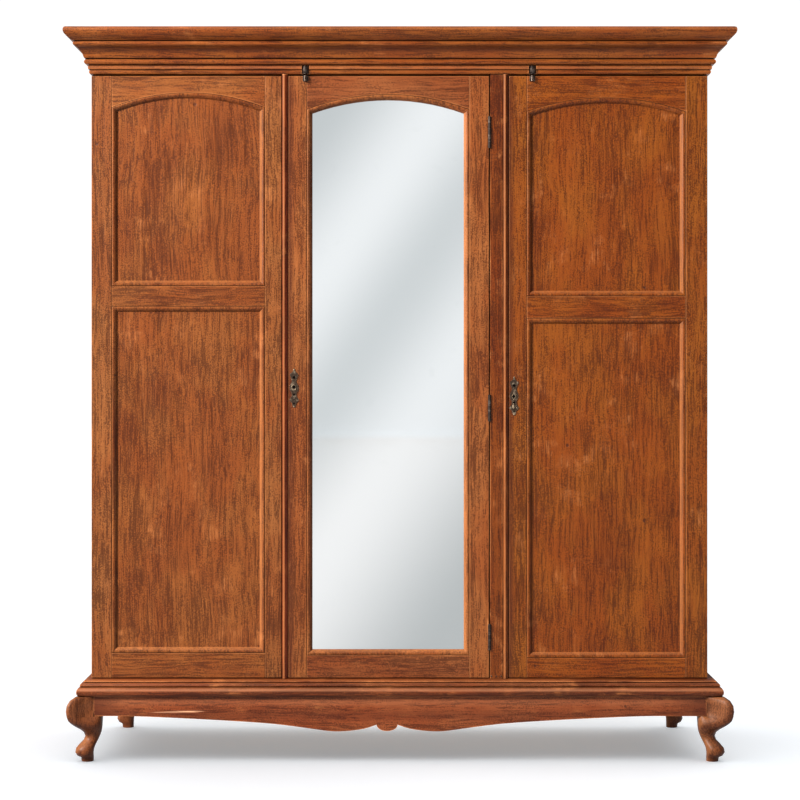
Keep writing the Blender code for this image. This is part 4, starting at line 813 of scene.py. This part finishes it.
DROP_STEPS = ((0.0004, 0.0), (0.0024, 0.0012), (0.0034, 0.0034), (0.0035, 0.0054), (0.0029, 0.0082),
              (0.0019, 0.0112), (0.0011, 0.0138), (0.0013, 0.0150), (0.0006, 0.0160))
hanging_drop = turned_piece("right_keyhole_drop", DROP_STEPS, 20)
hanging_drop.scale = (1.0, 0.6, 1.0)
smoothed(hanging_drop, degrees=60)
fixed_at(hanging_drop, (0.3136, -0.2478, 0.9705), UPRIGHT, "right_door", WORN_BRASS)

# Each lock's bolt comes out through a thin brass strip let into the door's edge, with two
# screws. It shows when the door stands open.
def sawn_block(name, size):
    """A square block, its middle on the origin."""
    bpy.ops.object.select_all(action="DESELECT")
    bpy.ops.mesh.primitive_cube_add(size=1)
    piece = bpy.context.object
    piece.name = name
    piece.scale = size
    bpy.ops.object.transform_apply(location=False, rotation=False, scale=True)
    return piece


STRIP_THICK = 0.0010
STRIP_Y = -0.2315
BOLT_HOLE = (0.004, 0.0044, 0.0148)
for body, edge_x, bolt_z in (("mirror_door", -0.3082, 1.0285), ("right_door", 0.3013, 1.0064)):
    strip = sawn_block(body + "_lock_strip", (STRIP_THICK, 0.0150, 0.0700))
    cut_away(strip, place=(0, 0, 0), size=BOLT_HOLE)
    edges_eased(strip, METAL_EDGE)
    smoothed(strip)
    fixed_at(strip, (edge_x, STRIP_Y, bolt_z), UPRIGHT, body, BRASS)
    for number, rise in enumerate((-0.024, 0.024)):
        screw = copy_of(pattern_screw, f"{body}_lock_strip_screw_{number + 1}")
        place = (edge_x - STRIP_THICK / 2, STRIP_Y, bolt_z + rise)
        fixed_at(screw, place, TO_LEFT, body, BRASS)

# A thin pine board covers the back of the mirror and keeps the silver from scratches. Its
# middle is raised a little, and fourteen nails along its long edges hold it to the stiles.
MIRROR_BACK_X = -0.0330
mirror_back = sawn_block("mirror_back_board", (0.4840, 0.0045, 1.5860))
bpy.ops.object.mode_set(mode="EDIT")
bpy.ops.mesh.select_all(action="DESELECT")
bpy.ops.object.mode_set(mode="OBJECT")
for face in mirror_back.data.polygons:
    face.select = face.normal.y > 0.9
bpy.ops.object.mode_set(mode="EDIT")
bpy.ops.mesh.inset(thickness=0.014, depth=0.0)
bpy.ops.mesh.extrude_region_move(TRANSFORM_OT_translate={"value": (0, 0.0012, 0)})
bpy.ops.mesh.bevel(offset=0.0006, segments=2)
bpy.ops.object.mode_set(mode="OBJECT")
smoothed(mirror_back)
middle = (MIRROR_BACK_X, -0.2171, 1.0650)
fixed_at(mirror_back, middle, UPRIGHT, "mirror_door", PINE_UPRIGHT)
NAIL_COLUMNS = 0.468
NAIL_STEP = 0.2583
for number in range(14):
    column, row = number % 2, number // 2
    nail = copy_of(pattern_nail, f"mirror_back_nail_{number + 1}")
    place = (MIRROR_BACK_X + (column - 0.5) * NAIL_COLUMNS, -0.2150, 0.290 + row * NAIL_STEP)
    fixed_at(nail, place, TO_BACK, "mirror_door", IRON)

# The back is eleven pine boards side by side, their long edges planed off, each nailed to the
# floor, the shelves' height and the ceiling with two nails. They stand for the CAD's one back.
def all_joined(pieces, name):
    """Joins like pieces to one, whose name is given."""
    pick(pieces[0])
    for piece in pieces[1:]:
        piece.select_set(True)
    bpy.ops.object.join()
    pieces[0].name = name
    return pieces[0]


low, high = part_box("back_panel")
NAIL_HEAD = 0.0010
BOARD_GAP = 0.0003
BOARD_SIZE = (BACK_BOARD_WIDTH - BOARD_GAP, high.y - low.y - NAIL_HEAD, high.z - low.z)
BOARD_PLACES = [low.x + BACK_BOARD_WIDTH * (number + 0.5) for number in range(11)]
boards = []
for middle_x in BOARD_PLACES:
    board = sawn_block("back_board", BOARD_SIZE)
    board.location = (middle_x, (low.y + high.y - NAIL_HEAD) / 2, (low.z + high.z) / 2)
    bpy.ops.object.transform_apply(location=True, rotation=False, scale=False)
    edges_eased(board, width=0.0022, segments=1)
    boards.append(board)
back_boards = all_joined(boards, "back_boards")
smoothed(back_boards, degrees=20)
fixed_at(back_boards, (0, 0, 0), UPRIGHT, "root", PINE_BOARDS)
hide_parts("back_panel")
nails = []
for middle_x in BOARD_PLACES:
    for height in (low.z + 0.055, 0.705, 1.235, high.z - 0.012):
        stray = 0.002 * math.sin(7 * middle_x)
        for off in (-0.052, 0.052):
            nail = copy_of(pattern_nail, "back_nail")
            nail.location = (middle_x + off, high.y - NAIL_HEAD, height + stray)
            nail.rotation_euler = TO_BACK
            pick(nail)
            bpy.ops.object.transform_apply(location=True, rotation=True, scale=True)
            nails.append(nail)
back_nails = all_joined(nails, "back_nails")
fixed_at(back_nails, (0, 0, 0), UPRIGHT, "root", IRON)

# The pole's ends sit in turned pine cups, each held by two iron screws, on the left side and
# on the partition.
POLE_Y = 0.0425
POLE_Z = 1.790
CUP_DEPTH = 0.0098
SOCKET_STEPS = ((0.0250, -0.0004), (0.0250, 0.0060), (0.0236, 0.0085), (0.0205, 0.0100), (0.0150, 0.0100),
                (0.0139, 0.0092), (0.0139, 0.0020))
for number, (end_x, turn) in enumerate(((-0.8307, TO_RIGHT), (0.2634, TO_LEFT))):
    socket = turned_piece(f"pole_cup_{number + 1}", SOCKET_STEPS, 40)
    smoothed(socket)
    fixed_at(socket, (end_x, POLE_Y, POLE_Z), turn, "root", PINE_UPRIGHT)
    rim_x = end_x + (CUP_DEPTH if number == 0 else -CUP_DEPTH)
    for row, off in enumerate((-0.0178, 0.0178)):
        screw = copy_of(pattern_screw, f"pole_cup_{number + 1}_screw_{row + 1}")
        screw.scale = (0.7, 0.7, 1.0)
        fixed_at(screw, (rim_x, POLE_Y + off, POLE_Z), turn, "root", IRON)

for pattern in (pattern_screw, pattern_nail):
    bpy.data.objects.remove(pattern)
